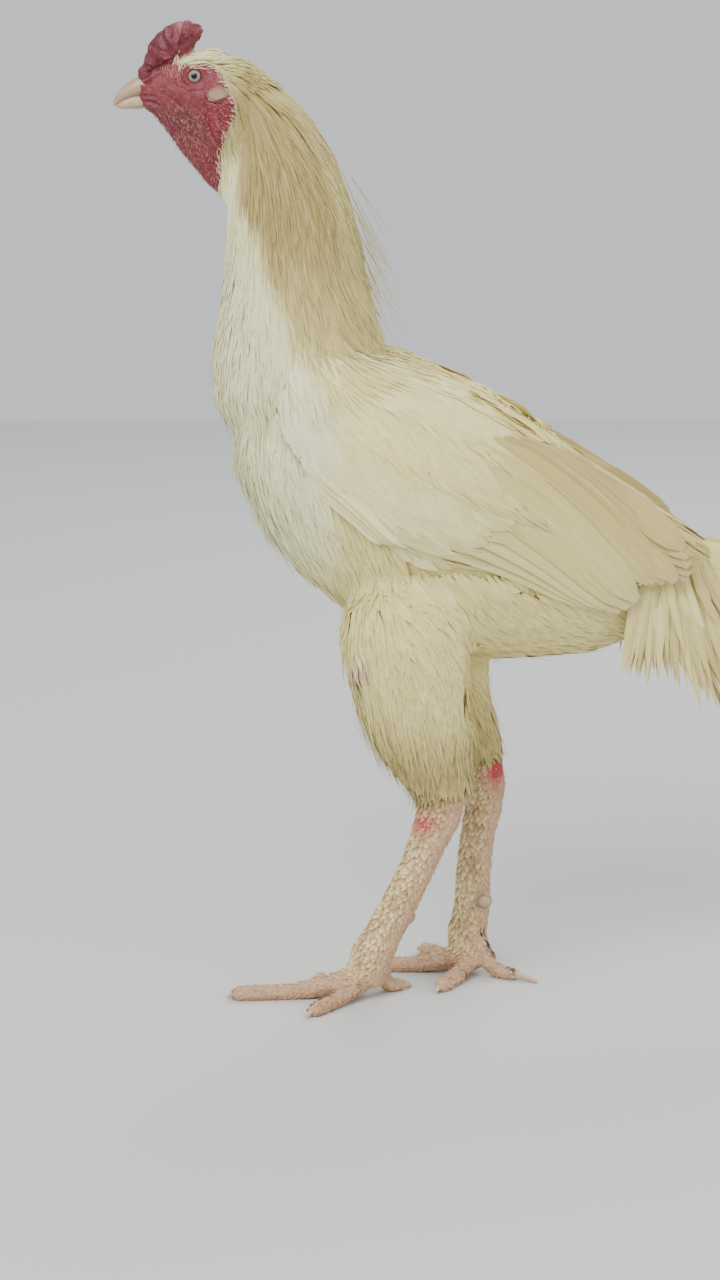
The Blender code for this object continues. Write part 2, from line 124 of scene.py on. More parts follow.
class Finish:
    # A material under construction.
    def __init__(self, name):
        self.material = bpy.data.materials.new(name)
        self.material.use_nodes = True
        self.tree = self.material.node_tree
        self.tree.nodes.clear()

    def node(self, kind, settings=None, inputs=None, output=0):
        made = self.tree.nodes.new(kind)
        for key, value in (settings or {}).items():
            setattr(made, key, value)
        for key, value in (inputs or {}).items():
            if isinstance(value, Wire):
                self.tree.links.new(value.socket, made.inputs[key])
            elif isinstance(value, tuple) and len(value) == 3 and made.inputs[key].type == "RGBA":
                made.inputs[key].default_value = (*value, 1)
            else:
                made.inputs[key].default_value = value
        return Wire(self, made.outputs[output] if len(made.outputs) else None)

    def mix(self, first, second, factor):
        return self.node("ShaderNodeMix", {"data_type": "RGBA"}, {0: factor, 6: first, 7: second}, 2)

    def mask(self, name, output=2):
        return self.node("ShaderNodeAttribute", {"attribute_name": name}, None, output)

    def split(self, wire):
        return [self.node("ShaderNodeSeparateXYZ", None, {0: wire}, k) for k in range(3)]

    def join(self, x, y, z):
        return self.node("ShaderNodeCombineXYZ", None, {0: x, 1: y, 2: z})

    def place(self):
        return self.node("ShaderNodeTexCoord", None, None, "Object")

    def noise(self, scale, detail=2.0, vector=None, rough=0.5):
        inputs = {"Vector": vector or self.place(), "Scale": scale, "Detail": detail, "Roughness": rough}
        return self.node("ShaderNodeTexNoise", None, inputs, "Fac")

    def cells(self, scale):
        inputs = {"Vector": self.place(), "Scale": scale}
        return self.node("ShaderNodeTexVoronoi", None, inputs, "Distance")

    def spread(self, wire, low, high):
        return self.node(
            "ShaderNodeMapRange", {"interpolation_type": "SMOOTHSTEP"}, {0: wire, 1: low, 2: high})

    def bump(self, height, distance, strength=1.0):
        return self.node(
            "ShaderNodeBump", None, {"Height": height, "Distance": distance, "Strength": strength})

    def surface(self, **inputs):
        shader = self.node(
            "ShaderNodeBsdfPrincipled", None,
            {key.replace("_", " "): value for key, value in inputs.items()})
        self.node("ShaderNodeOutputMaterial", None, {"Surface": shader})
        return self.material


# Meshes

def inScene(name, data):
    # A new object that holds this mesh, lamp or camera
    obj = bpy.data.objects.new(name, data)
    bpy.context.scene.collection.objects.link(obj)
    return obj


def shadeSmooth(mesh):
    mesh.polygons.foreach_set("use_smooth", np.ones(len(mesh.polygons), bool))


def newMesh(name, points, faces, finish=None):
    mesh = bpy.data.meshes.new(name)
    mesh.from_pydata(points.tolist(), [], faces)
    mesh.update()
    shadeSmooth(mesh)
    if finish:
        mesh.materials.append(finish)
    return inScene(name, mesh)


def valuesOf(items, key, width, kind=float):
    # What the points, edges or faces of a mesh hold under this key, a row for each
    found = np.empty(len(items) * width, kind)
    items.foreach_get(key, found)
    return found.reshape(-1, width)


def pointsOf(mesh):
    return valuesOf(mesh.vertices, "co", 3)


def setPoints(mesh, points):
    mesh.vertices.foreach_set("co", points.astype(np.float32).ravel())
    mesh.update()


def edgesOf(mesh):
    return valuesOf(mesh.edges, "vertices", 2, np.int32)


def normalsOf(mesh):
    return valuesOf(mesh.vertices, "normal", 3)


def trianglesOf(mesh):
    mesh.calc_loop_triangles()
    return [valuesOf(mesh.loop_triangles, key, 3, np.int32) for key in ("vertices", "loops")]


def tubeFaces(rows, ring, start=0):
    # The faces between neighbouring rings of points
    faces = []
    for i in range(rows - 1):
        for j in range(ring):
            a, b = start + i * ring + j, start + i * ring + (j + 1) % ring
            faces.append((a, b, b + ring, a + ring))
    return faces


def turnOut(mesh, weld=0.0):
    # Turns the faces outwards, once any points nearer than weld are one.
    bm = bmesh.new()
    bm.from_mesh(mesh)
    if weld:
        bmesh.ops.remove_doubles(bm, verts=bm.verts, dist=weld)
    bmesh.ops.recalc_face_normals(bm, faces=bm.faces)
    bm.to_mesh(mesh)
    bm.free()


def averaged(values, edges, times, share=0.5):
    # Blurs values kept on the points, each towards the mean of its neighbours.
    a, b = edges[:, 0], edges[:, 1]
    flat = values.reshape(len(values), -1).copy()
    count = np.bincount(a, minlength=len(flat)) + np.bincount(b, minlength=len(flat))
    count = np.maximum(count, 1)
    for _ in range(times):
        for k in range(flat.shape[1]):
            total = np.bincount(a, flat[b, k], len(flat)) + np.bincount(b, flat[a, k], len(flat))
            flat[:, k] += share * (total / count - flat[:, k])
    return flat.reshape(values.shape)


def addMask(mesh, name, values, kind="FLOAT"):
    layer = mesh.attributes.new(name, kind, "POINT")
    key = "value" if kind == "FLOAT" else "vector"
    layer.data.foreach_set(key, np.asarray(values, np.float32).ravel())


def evaluated(obj):
    bpy.context.view_layer.update()
    graph = bpy.context.evaluated_depsgraph_get()
    return bpy.data.meshes.new_from_object(obj.evaluated_get(graph))


# Skin

skinLook = {
    "voxel": 1.6,           # mm
    "overlap": 0.6,         # mm that each solid grows by, so that they join
    "coatDepth": {"trunk": 5.2, "neck": 4.5, "thigh": 4.8, "wing": 2.8, "head": 2.4},  # mm
    "hiddenShare": 0.25,    # of the faces under the coat that are kept
    "combLump": 1.1,        # mm
}
skinSources = (
    ["trunk", "neck", "head", "comb"]
    + [f"{part}_{side}" for side in sides for part in (
        "thigh", "shank", "earlobe", "wing", "toe_hind", "toe_inner", "toe_middle", "toe_outer")])
# Small rounded forms of flesh that are joined into the skin: x, y, z and three radii in mm. Each
# is made on both sides unless its y is 0.
fleshLumps = {
    "comb": (
        (-155.6, 3.6, 683.6, 5.4, 4.6, 5.4), (-152.0, 2.0, 693.5, 4.4, 4.0, 5.4),
        (-149.0, 2.0, 702.0, 4.8, 4.0, 4.8), (-144.0, 1.5, 708.6, 4.6, 3.8, 4.6),
        (-137.6, 1.0, 712.6, 4.8, 3.6, 4.8), (-129.0, 0, 716.2, 4.0, 3.2, 5.0),
        (-119.0, 0, 713.2, 5.4, 3.4, 5.0), (-123.5, 1.5, 708.0, 5.0, 3.4, 4.6),
        (-149.0, 6.2, 690.0, 5.2, 4.0, 4.6), (-144.5, 7.4, 697.2, 4.8, 3.6, 5.2),
        (-138.0, 7.6, 703.4, 4.4, 3.4, 4.8), (-131.4, 6.6, 706.0, 3.2, 3.2, 6.4),
        (-125.0, 5.6, 705.4, 3.8, 2.8, 4.2), (-137.4, 9.2, 694.4, 5.0, 2.8, 3.8)),
    "head": (
        (-105.5, 17.5, 652, 5.5, 3.6, 8.5), (-101.5, 19.0, 645, 5.0, 3.6, 9.5),
        (-103.5, 16.5, 637, 5.0, 3.2, 8.0), (-154.0, 5.6, 673.5, 4.4, 3.6, 4.8),
        (-152.5, 6.0, 665.4, 4.8, 3.4, 3.6), (-150.5, 5.6, 659.6, 4.6, 3.0, 2.8),
        (-124.4, 13.2, 678.0, 3.0, 3.2, 2.8), (-106.5, 0, 691.0, 15.0, 9.0, 12.0),
        (-93.0, 0, 684.5, 15.0, 10.0, 13.0), (-81.0, 0, 676.5, 15.0, 10.5, 14.0)),
    "trunk": ((-47, 50, 452, 13, 9, 17), (-45, 53, 432, 13, 9, 18)),
    "earlobe_left": ((-100.2, 20.2, 669.4, 7.4, 3.6, 5.9),),
}
# Kinds of flesh, by the first word of a solid's name
faceKinds = ("head", "neck", "earlobe")
combKinds = ("comb", "earlobe")
# The upper edge of the folded wing, as (x, z)
wingTop = ((-36, 491), (28, 484), (94, 453), (146, 417), (218, 362))
# The head is feathered behind faceLine, as (z, x), and above faceTop, as (x, z).
faceLine = ((580, -100.5), (590, -99.5), (600, -99), (628, -98.4), (643, -94), (655, -88),
            (664, -89), (682, -97), (692, -106))
faceTop = ((-162, 700), (-140, 693), (-128, 691), (-112, 692.5), (-104, 690))


def nodeShape(name):
    mesh = cadNodes[name].data
    corners, _ = trianglesOf(mesh)
    points = (pointsOf(mesh) - birdOrigin) / millimetre
    _, first, index = np.unique(
        np.round(points, 3), axis=0, return_index=True, return_inverse=True)
    corners = index.reshape(-1)[corners]
    whole = (corners != np.roll(corners, 1, axis=1)).all(1)
    return points[first], corners[whole]


def nodeBody(points, faces):
    # What a point lies nearest to is a triangle of this tree.
    return BVHTree.FromPolygons(points.tolist(), faces.tolist())


# mm: heights at which the legs' feathers end, the left one's at this x and rising with x
hemLook = {"left": 149, "x": 41, "slope": 0.36, "right": 168.0}
sparseLook = {"at": (1, -62, 262), "reach": (8, 13, 22)}  # mm


def hockEnd(points):
    # Height at which the feathers of each leg end, a little above the hock
    left = hemLook["left"] + (points[:, 0] - hemLook["x"]) * hemLook["slope"]
    return np.where(points[:, 1] < 0, left, hemLook["right"])


def barePatch(points):
    # 1 where the coat is sparse, at the front of the left thigh
    gap = (points - sparseLook["at"]) / sparseLook["reach"]
    return smoothStep(np.linalg.norm(gap, axis=1), 1.1, 0.8)


def faceGaps(points):
    # How far a point lies ahead of the bare face's rear edge and below its upper one, in mm
    return lineAt(faceLine, points[:, 2]) - points[:, 0], lineAt(faceTop, points[:, 0]) - points[:, 2]


def bareMask(points):
    # 1 on the bare red face and throat
    ahead, under = faceGaps(points)
    nearBeak = smoothStep(-130 - points[:, 0], -1.5, 1.5)
    under = np.maximum(smoothStep(under, -1.5, 1.5), nearBeak)
    aboveThroat = smoothStep(points[:, 2], 588, 594)
    return smoothStep(ahead, -1.5, 1.5) * under * aboveThroat


def roundBall():
    bm = bmesh.new()
    bmesh.ops.create_icosphere(bm, subdivisions=3, radius=1)
    points = np.array([v.co for v in bm.verts])
    faces = np.array([[v.index for v in f.verts] for f in bm.faces])
    bm.free()
    return points, faces


fillerLook = {
    # mm: places along the wing, widest gap that is filled, and for each row of fillers how far it lies
    # below the wing's upper edge, with its radius
    "places": range(-30, 206, 7), "widest": 34, "rows": ((9, 9), (20, 11)),
}


def wingFillers(shapes):
    # Flesh between the back and the upper edge of each folded wing, so that the coat runs over both
    found = []
    trunk = nodeBody(*shapes["trunk"])
    for side, sign in sides.items():
        wing = nodeBody(*shapes[f"wing_{side}"])
        for x in fillerLook["places"]:
            for drop, radius in fillerLook["rows"]:
                z = lineAt(wingTop, x) - drop
                inner = wing.ray_cast(Vector((x, 0, z)), Vector((0, sign, 0)))[0]
                outer = trunk.ray_cast(Vector((x, sign * 200, z)), Vector((0, -sign, 0)))[0]
                if inner is None or outer is None:
                    continue
                gap = abs(inner[1]) - abs(outer[1])
                if gap <= fillerLook["widest"]:
                    reach = max(4.0, gap / 2 + 3)
                    found.append((x, (inner[1] + outer[1]) / 2, z, radius, reach, radius))
    return found


def fleshSolids():
    # The skin's solids and the rounded forms joined to them: points, the same grown by the overlap,
    # triangles, and the kind of each triangle
    shapes = {name: nodeShape(name) for name in skinSources}
    stack, faces, owner, start = [], [], [], 0
    for k, name in enumerate(skinSources):
        points, corners = shapes[name]
        stack.append(points)
        faces.append(corners + start)
        owner += [k] * len(corners)
        start += len(points)
    points, faces = np.concatenate(stack), np.concatenate(faces)
    body = newMesh("skinStart", points, faces.tolist())
    grown = points + normalsOf(body.data) * skinLook["overlap"]
    bpy.data.objects.remove(body)
    ballPoints, ballFaces = roundBall()
    lumpRows = [(name, row, sign) for name, rows in fleshLumps.items() for row in rows
                for sign in ((-1, 1) if row[1] else (1,))]
    lumpRows += [("trunk", row, 1) for row in wingFillers(shapes)]
    for name, (x, y, z, *radii), sign in lumpRows:
        lump = ballPoints * radii + (x, y * sign, z)
        faces = np.concatenate([faces, ballFaces + len(points)])
        points = np.concatenate([points, lump])
        grown = np.concatenate([grown, lump])
        owner += [skinSources.index(name)] * len(ballFaces)
    kinds = np.array([name.split("_")[0] for name in skinSources])
    return points, grown, faces, kinds[np.array(owner)]


def softenCreases(points, edges, kind):
    # The thighs run into the trunk with no crease, and so do the shoulders, as under real feathers.
    thighEdge = averaged((kind == "thigh").astype(float), edges, 40)
    thighEdge = np.clip(5 * thighEdge * (1 - thighEdge), 0, 1) * smoothStep(points[:, 2], 205, 245)
    wingEdge = averaged((kind == "wing").astype(float), edges, 16)
    under = lineAt(wingTop, points[:, 0]) - points[:, 2]
    wingEdge = np.clip(4 * wingEdge * (1 - wingEdge), 0, 1) * smoothStep(under, 34, 16)
    wingEdge *= 1 - smoothStep(points[:, 0], 150, 210)
    rounder = averaged(points, edges, 110, 0.9)
    return points + (rounder - points) * np.maximum(thighEdge, wingEdge)[:, None]


def thinned(mesh, hidden):
    # The mesh with fewer faces at its hidden points
    obj = inScene("skin", mesh)
    thin = obj.vertex_groups.new(name="hidden")
    thin.add(np.flatnonzero(hidden).tolist(), 1.0, "REPLACE")
    fewer = obj.modifiers.new("Fewer", "DECIMATE")
    fewer.ratio = 1 - (1 - skinLook["hiddenShare"]) * np.count_nonzero(hidden) / len(hidden)
    fewer.vertex_group = "hidden"
    mesh = evaluated(obj)
    bpy.data.objects.remove(obj)
    return mesh


def cutFiner(mesh, fine):
    # Cuts each edge between fine points in three.
    bm = bmesh.new()
    bm.from_mesh(mesh)
    bm.verts.ensure_lookup_table()
    chosen = [e for e in bm.edges if fine[e.verts[0].index] and fine[e.verts[1].index]]
    bmesh.ops.subdivide_edges(bm, edges=chosen, cuts=2, use_grid_fill=True)
    bmesh.ops.triangulate(bm, faces=[f for f in bm.faces if len(f.verts) > 4])
    bm.to_mesh(mesh)
    bm.free()


def thickness(points, normals, corners, wanted):
    # How much flesh lies straight under each wanted point, in mm
    body = nodeBody(points, corners)
    thick = np.full(len(points), 100.0)
    for k in np.flatnonzero(wanted):
        hit = body.ray_cast(Vector(points[k] - normals[k] * 0.2), Vector(-normals[k]))
        if hit[0] is not None:
            thick[k] = hit[3]
    return thick


def makeSkin():
    solid, grown, corners, owners = fleshSolids()
    source = nodeBody(solid, corners)

    def kindAt(points):
        return owners[np.array([source.find_nearest(p)[2] for p in points.tolist()])]

    def bareAt(points, kind):
        return bareMask(points) * np.isin(kind, faceKinds)

    body = newMesh("skinStart", grown, corners.tolist())
    remesh = body.modifiers.new("Remesh", "REMESH")
    remesh.mode = "VOXEL"
    remesh.voxel_size = skinLook["voxel"]
    mesh = evaluated(body)
    bpy.data.objects.remove(body)
    edges = edgesOf(mesh)
    points = averaged(pointsOf(mesh), edges, 3)
    kind = kindAt(points)
    points = softenCreases(points, edges, kind)
    setPoints(mesh, points)
    mesh = thinned(mesh, (bareAt(points, kind) <= 0.02) & ~np.isin(kind, combKinds + ("shank", "toe")))

    # The head's bare skin is cut finer, for its folds.
    points = pointsOf(mesh)
    kind = kindAt(points)
    cutFiner(mesh, (bareAt(points, kind) > 0.01) | np.isin(kind, combKinds))
    print("skin faces", len(mesh.polygons))

    points = pointsOf(mesh)
    edges = edgesOf(mesh)
    kind = kindAt(points)
    bare = averaged(np.maximum(bareAt(points, kind), kind == "comb"), edges, 2)
    rounder = averaged(points, edges, 5)
    points = points + (rounder - points) * np.maximum(bare, np.isin(kind, combKinds))[:, None]
    setPoints(mesh, points)
    normals = normalsOf(mesh)

    # How deep the coat is at each point, and never more than 0.4 of the thickness there.
    depth = np.zeros(len(points))
    for name, reach in skinLook["coatDepth"].items():
        depth[kind == name] = reach
    belowHock = (kind == "thigh") & (points[:, 2] < hockEnd(points))
    depth *= 1 - bare
    depth[belowHock] = 0.3
    depth *= 1 - 0.6 * barePatch(points) * (kind != "wing")
    depth = np.minimum(depth, 0.4 * thickness(points, normals, trianglesOf(mesh)[0], depth > 0))
    depth = averaged(depth, edges, 6) * (1 - bare)
    points = points - averaged(normals, edges, 4) * (depth + skinLook["overlap"])[:, None]
    masks = {
        "bare": bare,
        "comb": averaged((kind == "comb").astype(float), edges, 2),
        "lobe": averaged((kind == "earlobe").astype(float), edges, 1),
        "leg": averaged((np.isin(kind, ("shank", "toe")) | belowHock).astype(float), edges, 3),
        "patch": barePatch(points) * (kind != "wing"),
    }
    return mesh, points, kind, depth, masks


def polyDistance(points, line):
    # Distance in the side view from each point to a line of (x, z), and how far along it is.
    best = np.full(len(points), 1e9)
    along = np.zeros(len(points))
    line = np.array(line, float)
    for k in range(len(line) - 1):
        a, b = line[k], line[k + 1]
        t = np.clip(((points[:, [0, 2]] - a) @ (b - a)) / ((b - a) @ (b - a)), 0, 1)
        away = np.linalg.norm(points[:, [0, 2]] - (a + t[:, None] * (b - a)), axis=1)
        near = away < best
        best[near] = away[near]
        along[near] = (k + t[near]) / (len(line) - 1)
    return best, along


def lumps(points, size, seed):
    # Rounded pebbles of about this size, 0 in the creases to 1 on top
    found = np.empty(len(points))
    for k, p in enumerate(points.tolist()):
        cell = noise.voronoi(Vector((p[0] / size + seed, p[1] / size, p[2] / size)))[0]
        found[k] = min(1.0, (cell[1] - cell[0]) * 1.6)
    return found


def cloud(points, size, seed):
    return np.array([
        noise.noise(Vector((p[0] / size + seed, p[1] / size, p[2] / size))) for p in points.tolist()])


eyeLook = {
    # mm: how far the eye sits above the solid's, and its ball; the radii of the opening of the lids, of
    # their rim and of the skin that they pull, and the rim's height
    "raise": 1.3, "ball": 6.6, "opening": 4.7, "rim": 6.3, "edge": 9.8, "lidRise": 1.2,
    "turn": 3,      # degrees that it looks ahead
    "bulge": 0.35,  # mm that its front stands out
}

headFolds = {
    # line of (x, z), width and height in mm: folds out where the height is above 0
    "nostril": (((-160, 680.5), (-158.4, 677.2), (-155.6, 675.8), (-151.5, 677.6), (-148.4, 680)),
                0.9, -2.0),
    "nostrilLip": (((-158.6, 674.6), (-155.4, 673.2), (-150.6, 674.8)), 1.2, 0.6),
    "mouth": (((-158, 668), (-153, 668), (-147, 666.8)), 0.7, -1.4),
    "gapeHigh": (((-157, 665.4), (-152, 666), (-146.6, 664.6), (-142.4, 661.6)), 1.0, 0.9),
    "gapeMid": (((-156, 663.2), (-150, 663.6), (-144.4, 660.8)), 0.6, -1.2),
    "gapeLow": (((-157, 661), (-151.6, 661.2), (-146.4, 658.4)), 1.0, 0.9),
    "chin": (((-157, 658.6), (-151, 657.4), (-144, 653.6)), 0.8, -1.0),
    "cheek": (((-146, 671), (-137, 667), (-129, 661), (-123, 652)), 1.4, -0.7),
    "jaw": (((-143, 655), (-134, 648), (-125, 637), (-114, 622)), 1.4, -0.8),
    "throatFold": (((-131, 655), (-121, 646), (-112, 634), (-106, 618)), 1.4, -0.8),
    "throatRidge": (((-137, 651), (-128, 641), (-119, 629), (-109, 612)), 1.8, 0.8),
    "brow": (((-131, 690), (-122, 692.4), (-110, 690)), 1.6, 0.8),
    "browUnder": (((-130.4, 686), (-126, 688.6), (-119, 689.6), (-112, 687.6), (-108.4, 684)), 0.8, -1.0),
    "eyeFront": (((-128.6, 682), (-127.6, 677.5), (-121.5, 674.6)), 0.8, -0.7),
    "underEye": (((-131, 675), (-122, 671), (-112, 672.5)), 0.8, -0.7),
    "behindEye": (((-108, 690), (-103.6, 684), (-103, 677)), 1.0, -0.6),
    "ear": (((-112, 668), (-108, 663.4), (-101, 661.6), (-95, 665)), 0.9, -1.2),
    "wattleEdge": (((-112, 662), (-110, 650), (-107.4, 640), (-101, 633)), 1.1, -1.4),
    "wattleFold": (((-102.4, 659.6), (-100.6, 653), (-97.4, 647)), 0.8, -1.4),
    "wattleLow": (((-106, 650), (-103, 643), (-98, 638)), 0.8, -0.8),
    "combFoot": (((-158, 690), (-152, 689), (-147, 686), (-141.6, 689), (-135, 693.4), (-127, 696.8)),
                 0.9, -1.5),
    "combFront": (((-153.4, 707), (-147.4, 703), (-142, 699.6), (-139.6, 699)), 0.8, -1.6),
    "combTop": (((-142.6, 716), (-140.6, 709), (-136.4, 703), (-135, 697)), 0.8, -1.5),
    "combTip": (((-134.4, 719), (-134, 712), (-134.8, 706)), 0.7, -1.2),
    "combSplit": (((-125.2, 719), (-126.6, 712), (-128, 705), (-129.6, 699)), 0.9, -1.7),
    "combRear": (((-122, 711), (-119, 708.6), (-117, 707)), 0.8, -0.9),
}


def carveHead(mesh, points, masks):
    work = np.flatnonzero((masks["bare"] > 0.01) | (masks["comb"] > 0.01) | (masks["lobe"] > 0.01))
    setPoints(mesh, points)
    normals = normalsOf(mesh)[work]
    spot = points[work]
    bare, comb, lobe = (masks[key][work] for key in ("bare", "comb", "lobe"))
    face = bare * (1 - comb) * (1 - lobe)
    rise = comb * skinLook["combLump"] * (lumps(spot, 6.5, 3.0) - 0.55)
    rise += comb * 0.16 * (lumps(spot, 2.2, 8.0) - 0.5)
    rise += face * 0.30 * (lumps(spot, 1.9, 5.0) - 0.5)
    rise += face * 0.45 * cloud(spot, 5.0, 2.0)
    pebbly = face * smoothStep(664 - spot[:, 2], 0, 14)
    rise += pebbly * 0.9 * (lumps(spot, 3.0, 11.0) - 0.5)
    for line, width, height in headFolds.values():
        away, along = polyDistance(spot, line)
        ends = np.sin(np.pi * np.clip(along, 0.06, 0.94)) ** 0.5
        side = smoothStep(np.abs(spot[:, 1]), 1, 4)
        rise += bell(away, width) * height * ends * side * np.maximum(face, comb)
    rise += lobe * 0.8 * cloud(spot, 4.0, 6.0)
    lobeGap = np.hypot((spot[:, 0] + 101.8) / 6.2, (spot[:, 2] - 670.2) / 4.8)
    rise += lobe * 0.9 * (bell(lobeGap - 0.85, 0.2) - 0.6 * bell(lobeGap, 0.45))
    spot = spot + normals * rise[:, None]

    # Lids: the skin opens round the ball, stands up as a rim, and falls away to the face.
    ball, opening, rim, edge = (eyeLook[key] for key in ("ball", "opening", "rim", "edge"))
    for sign in sides.values():
        centre = eyeSpot + (0, sign * 12.8, eyeLook["raise"])
        gap = spot - centre
        flat = np.hypot(gap[:, 0], gap[:, 2] * 1.06)
        near = (flat < edge) & (spot[:, 1] * sign > 8)
        r = flat[near]
        tight = np.where(
            r < opening, r, opening + (r - opening) * np.clip((r - opening) / (edge - opening), 0.35, 1))
        gap[near, 0] *= tight / np.maximum(r, 1e-6)
        gap[near, 2] *= tight / np.maximum(r, 1e-6)
        ballTop = np.sqrt(np.maximum(ball**2 - tight**2, 0))
        inside = ballTop - 1.3
        lid = np.sqrt(ball**2 - opening**2) + 0.25
        lid = lid + eyeLook["lidRise"] * smoothStep(tight, opening - 0.2, rim)
        was = gap[near, 1] * sign
        fall = smoothStep(tight, rim, edge)
        wanted = np.where(tight < opening - 0.15, inside, lid + (was - lid) * fall)
        gap[near, 1] = wanted * sign
        spot[near] = (centre + gap)[near]
    points = points.copy()
    points[work] = spot
    return points


# Dark stains of the right foot: two ends as (x, z) and a half width, in mm
legStains = (((101, 21), (116, 9), 2.4), ((93, 36), (94, 35), 1.8), ((97, 27), (97, 25), 2.0))


def skinMarks(points):
    # Where the throat is mottled, the wattle flushed, the comb's tip paler as a painted highlight, the
    # hocks sore and the right foot stained
    x, z = points[:, 0], points[:, 2]
    throat = bell(z - 648 + (x + 125) * 0.35, 15) * bell(x + 126, 20)
    wattle = np.hypot((x + 101 + (z - 650) * 0.15) / 9, (z - 649) / 15)
    wattle = smoothStep(1.25 - wattle, 0, 0.5)
    temple = bell(x + 106, 6) * bell(z - 684, 9) * 0.7
    # Painted highlight: the comb's tip, and faintly a stripe below it, are drawn paler where light falls
    # on them.
    tip = bell(np.hypot((x + 129) / 3.0, (z - 719) / 4.5), 1.0)
    tip = tip + 0.15 * bell(x + 131.5, 2.0) * bell(z - 706, 8)
    sore = bell(np.hypot((x - 48) / 9, (z - 141) / 9), 1.0) * (points[:, 1] < 0)
    sore += bell(np.hypot((x - 104) / 8, (z - 161) / 10), 1.0) * 1.2 * (points[:, 1] > 0)
    stain = np.zeros(len(points))
    for (ax, az), (bx, bz), wide in legStains:
        away, _ = polyDistance(points, ((ax, az), (bx, bz)))
        stain = np.maximum(stain, bell(away, wide) * (points[:, 1] > 0))
    return {"mottle": throat * (1 - wattle), "flush": np.maximum(wattle, temple),
            "tip": np.clip(tip, 0, 1), "sore": np.clip(sore, 0, 1), "stain": np.clip(stain * 1.3, 0, 1)}


def skinFinish():
    f = Finish("skin")
    bare, comb, lobe, leg, mottle, flush, sore, stain, plucked = (f.mask(key) for key in (
        "bare", "comb", "lobe", "leg", "mottle", "flush", "sore", "stain", "patch"))
    fine = f.cells(900.0)
    coarse = f.noise(160.0, 3.0)
    patch = f.noise(45.0, 2.0)
    down = coatColour(f, f.mask("tint", 1))
    red = f.mix((0.165, 0.011, 0.020), (0.225, 0.028, 0.038), f.spread(coarse, 0.35, 0.7))
    red = f.mix(red, (0.34, 0.10, 0.095), f.spread(f.noise(420.0, 2.0), 0.56, 0.76) * 0.55)
    red = f.mix(red, (0.14, 0.007, 0.014), f.spread(patch, 0.56, 0.72) * 0.45)
    speck = f.spread(f.noise(330.0, 3.0), 0.46, 0.62)
    red = f.mix(red, f.mix((0.085, 0.014, 0.014), (0.27, 0.085, 0.075), speck), mottle * 0.75)
    red = f.mix(red, (0.20, 0.010, 0.020), flush * 0.7)
    cockscomb = f.mix((0.120, 0.009, 0.018), (0.185, 0.022, 0.033), f.spread(coarse, 0.35, 0.7))
    # Painted highlight on the comb's tip, by the mask tip
    cockscomb = f.mix(cockscomb, (0.42, 0.13, 0.14), f.mask("tip") * 0.9)
    cockscomb = f.mix(cockscomb, (0.05, 0.008, 0.010), f.spread(f.noise(190.0, 1.0), 0.66, 0.71))
    pale = f.mix((0.27, 0.145, 0.09), (0.33, 0.215, 0.14), f.spread(coarse, 0.36, 0.52))
    scaled = f.mix((0.56, 0.33, 0.20), (0.56, 0.40, 0.20), patch)
    scaled = f.mix(scaled, (0.46, 0.04, 0.06), sore)
    scaled = f.mix(scaled, (0.06, 0.04, 0.03), stain)
    stubble = f.mix((0.60, 0.38, 0.30), (0.10, 0.05, 0.05), f.spread(f.cells(430.0), 0.32, 0.2))
    down = f.mix(down, stubble, plucked)
    colour = f.mix(down, red, bare)
    colour = f.mix(colour, cockscomb, comb)
    colour = f.mix(colour, pale, lobe)
    colour = f.mix(colour, scaled, leg)
    rough = 0.75 - bare * 0.22 - comb * 0.08
    grain = f.bump(fine, 0.0004, 0.6)
    return f.surface(Base_Color=colour, Roughness=rough, Normal=grain, Subsurface_Weight=0.08,
                     Subsurface_Scale=0.003, Subsurface_Radius=(1.0, 0.35, 0.2))


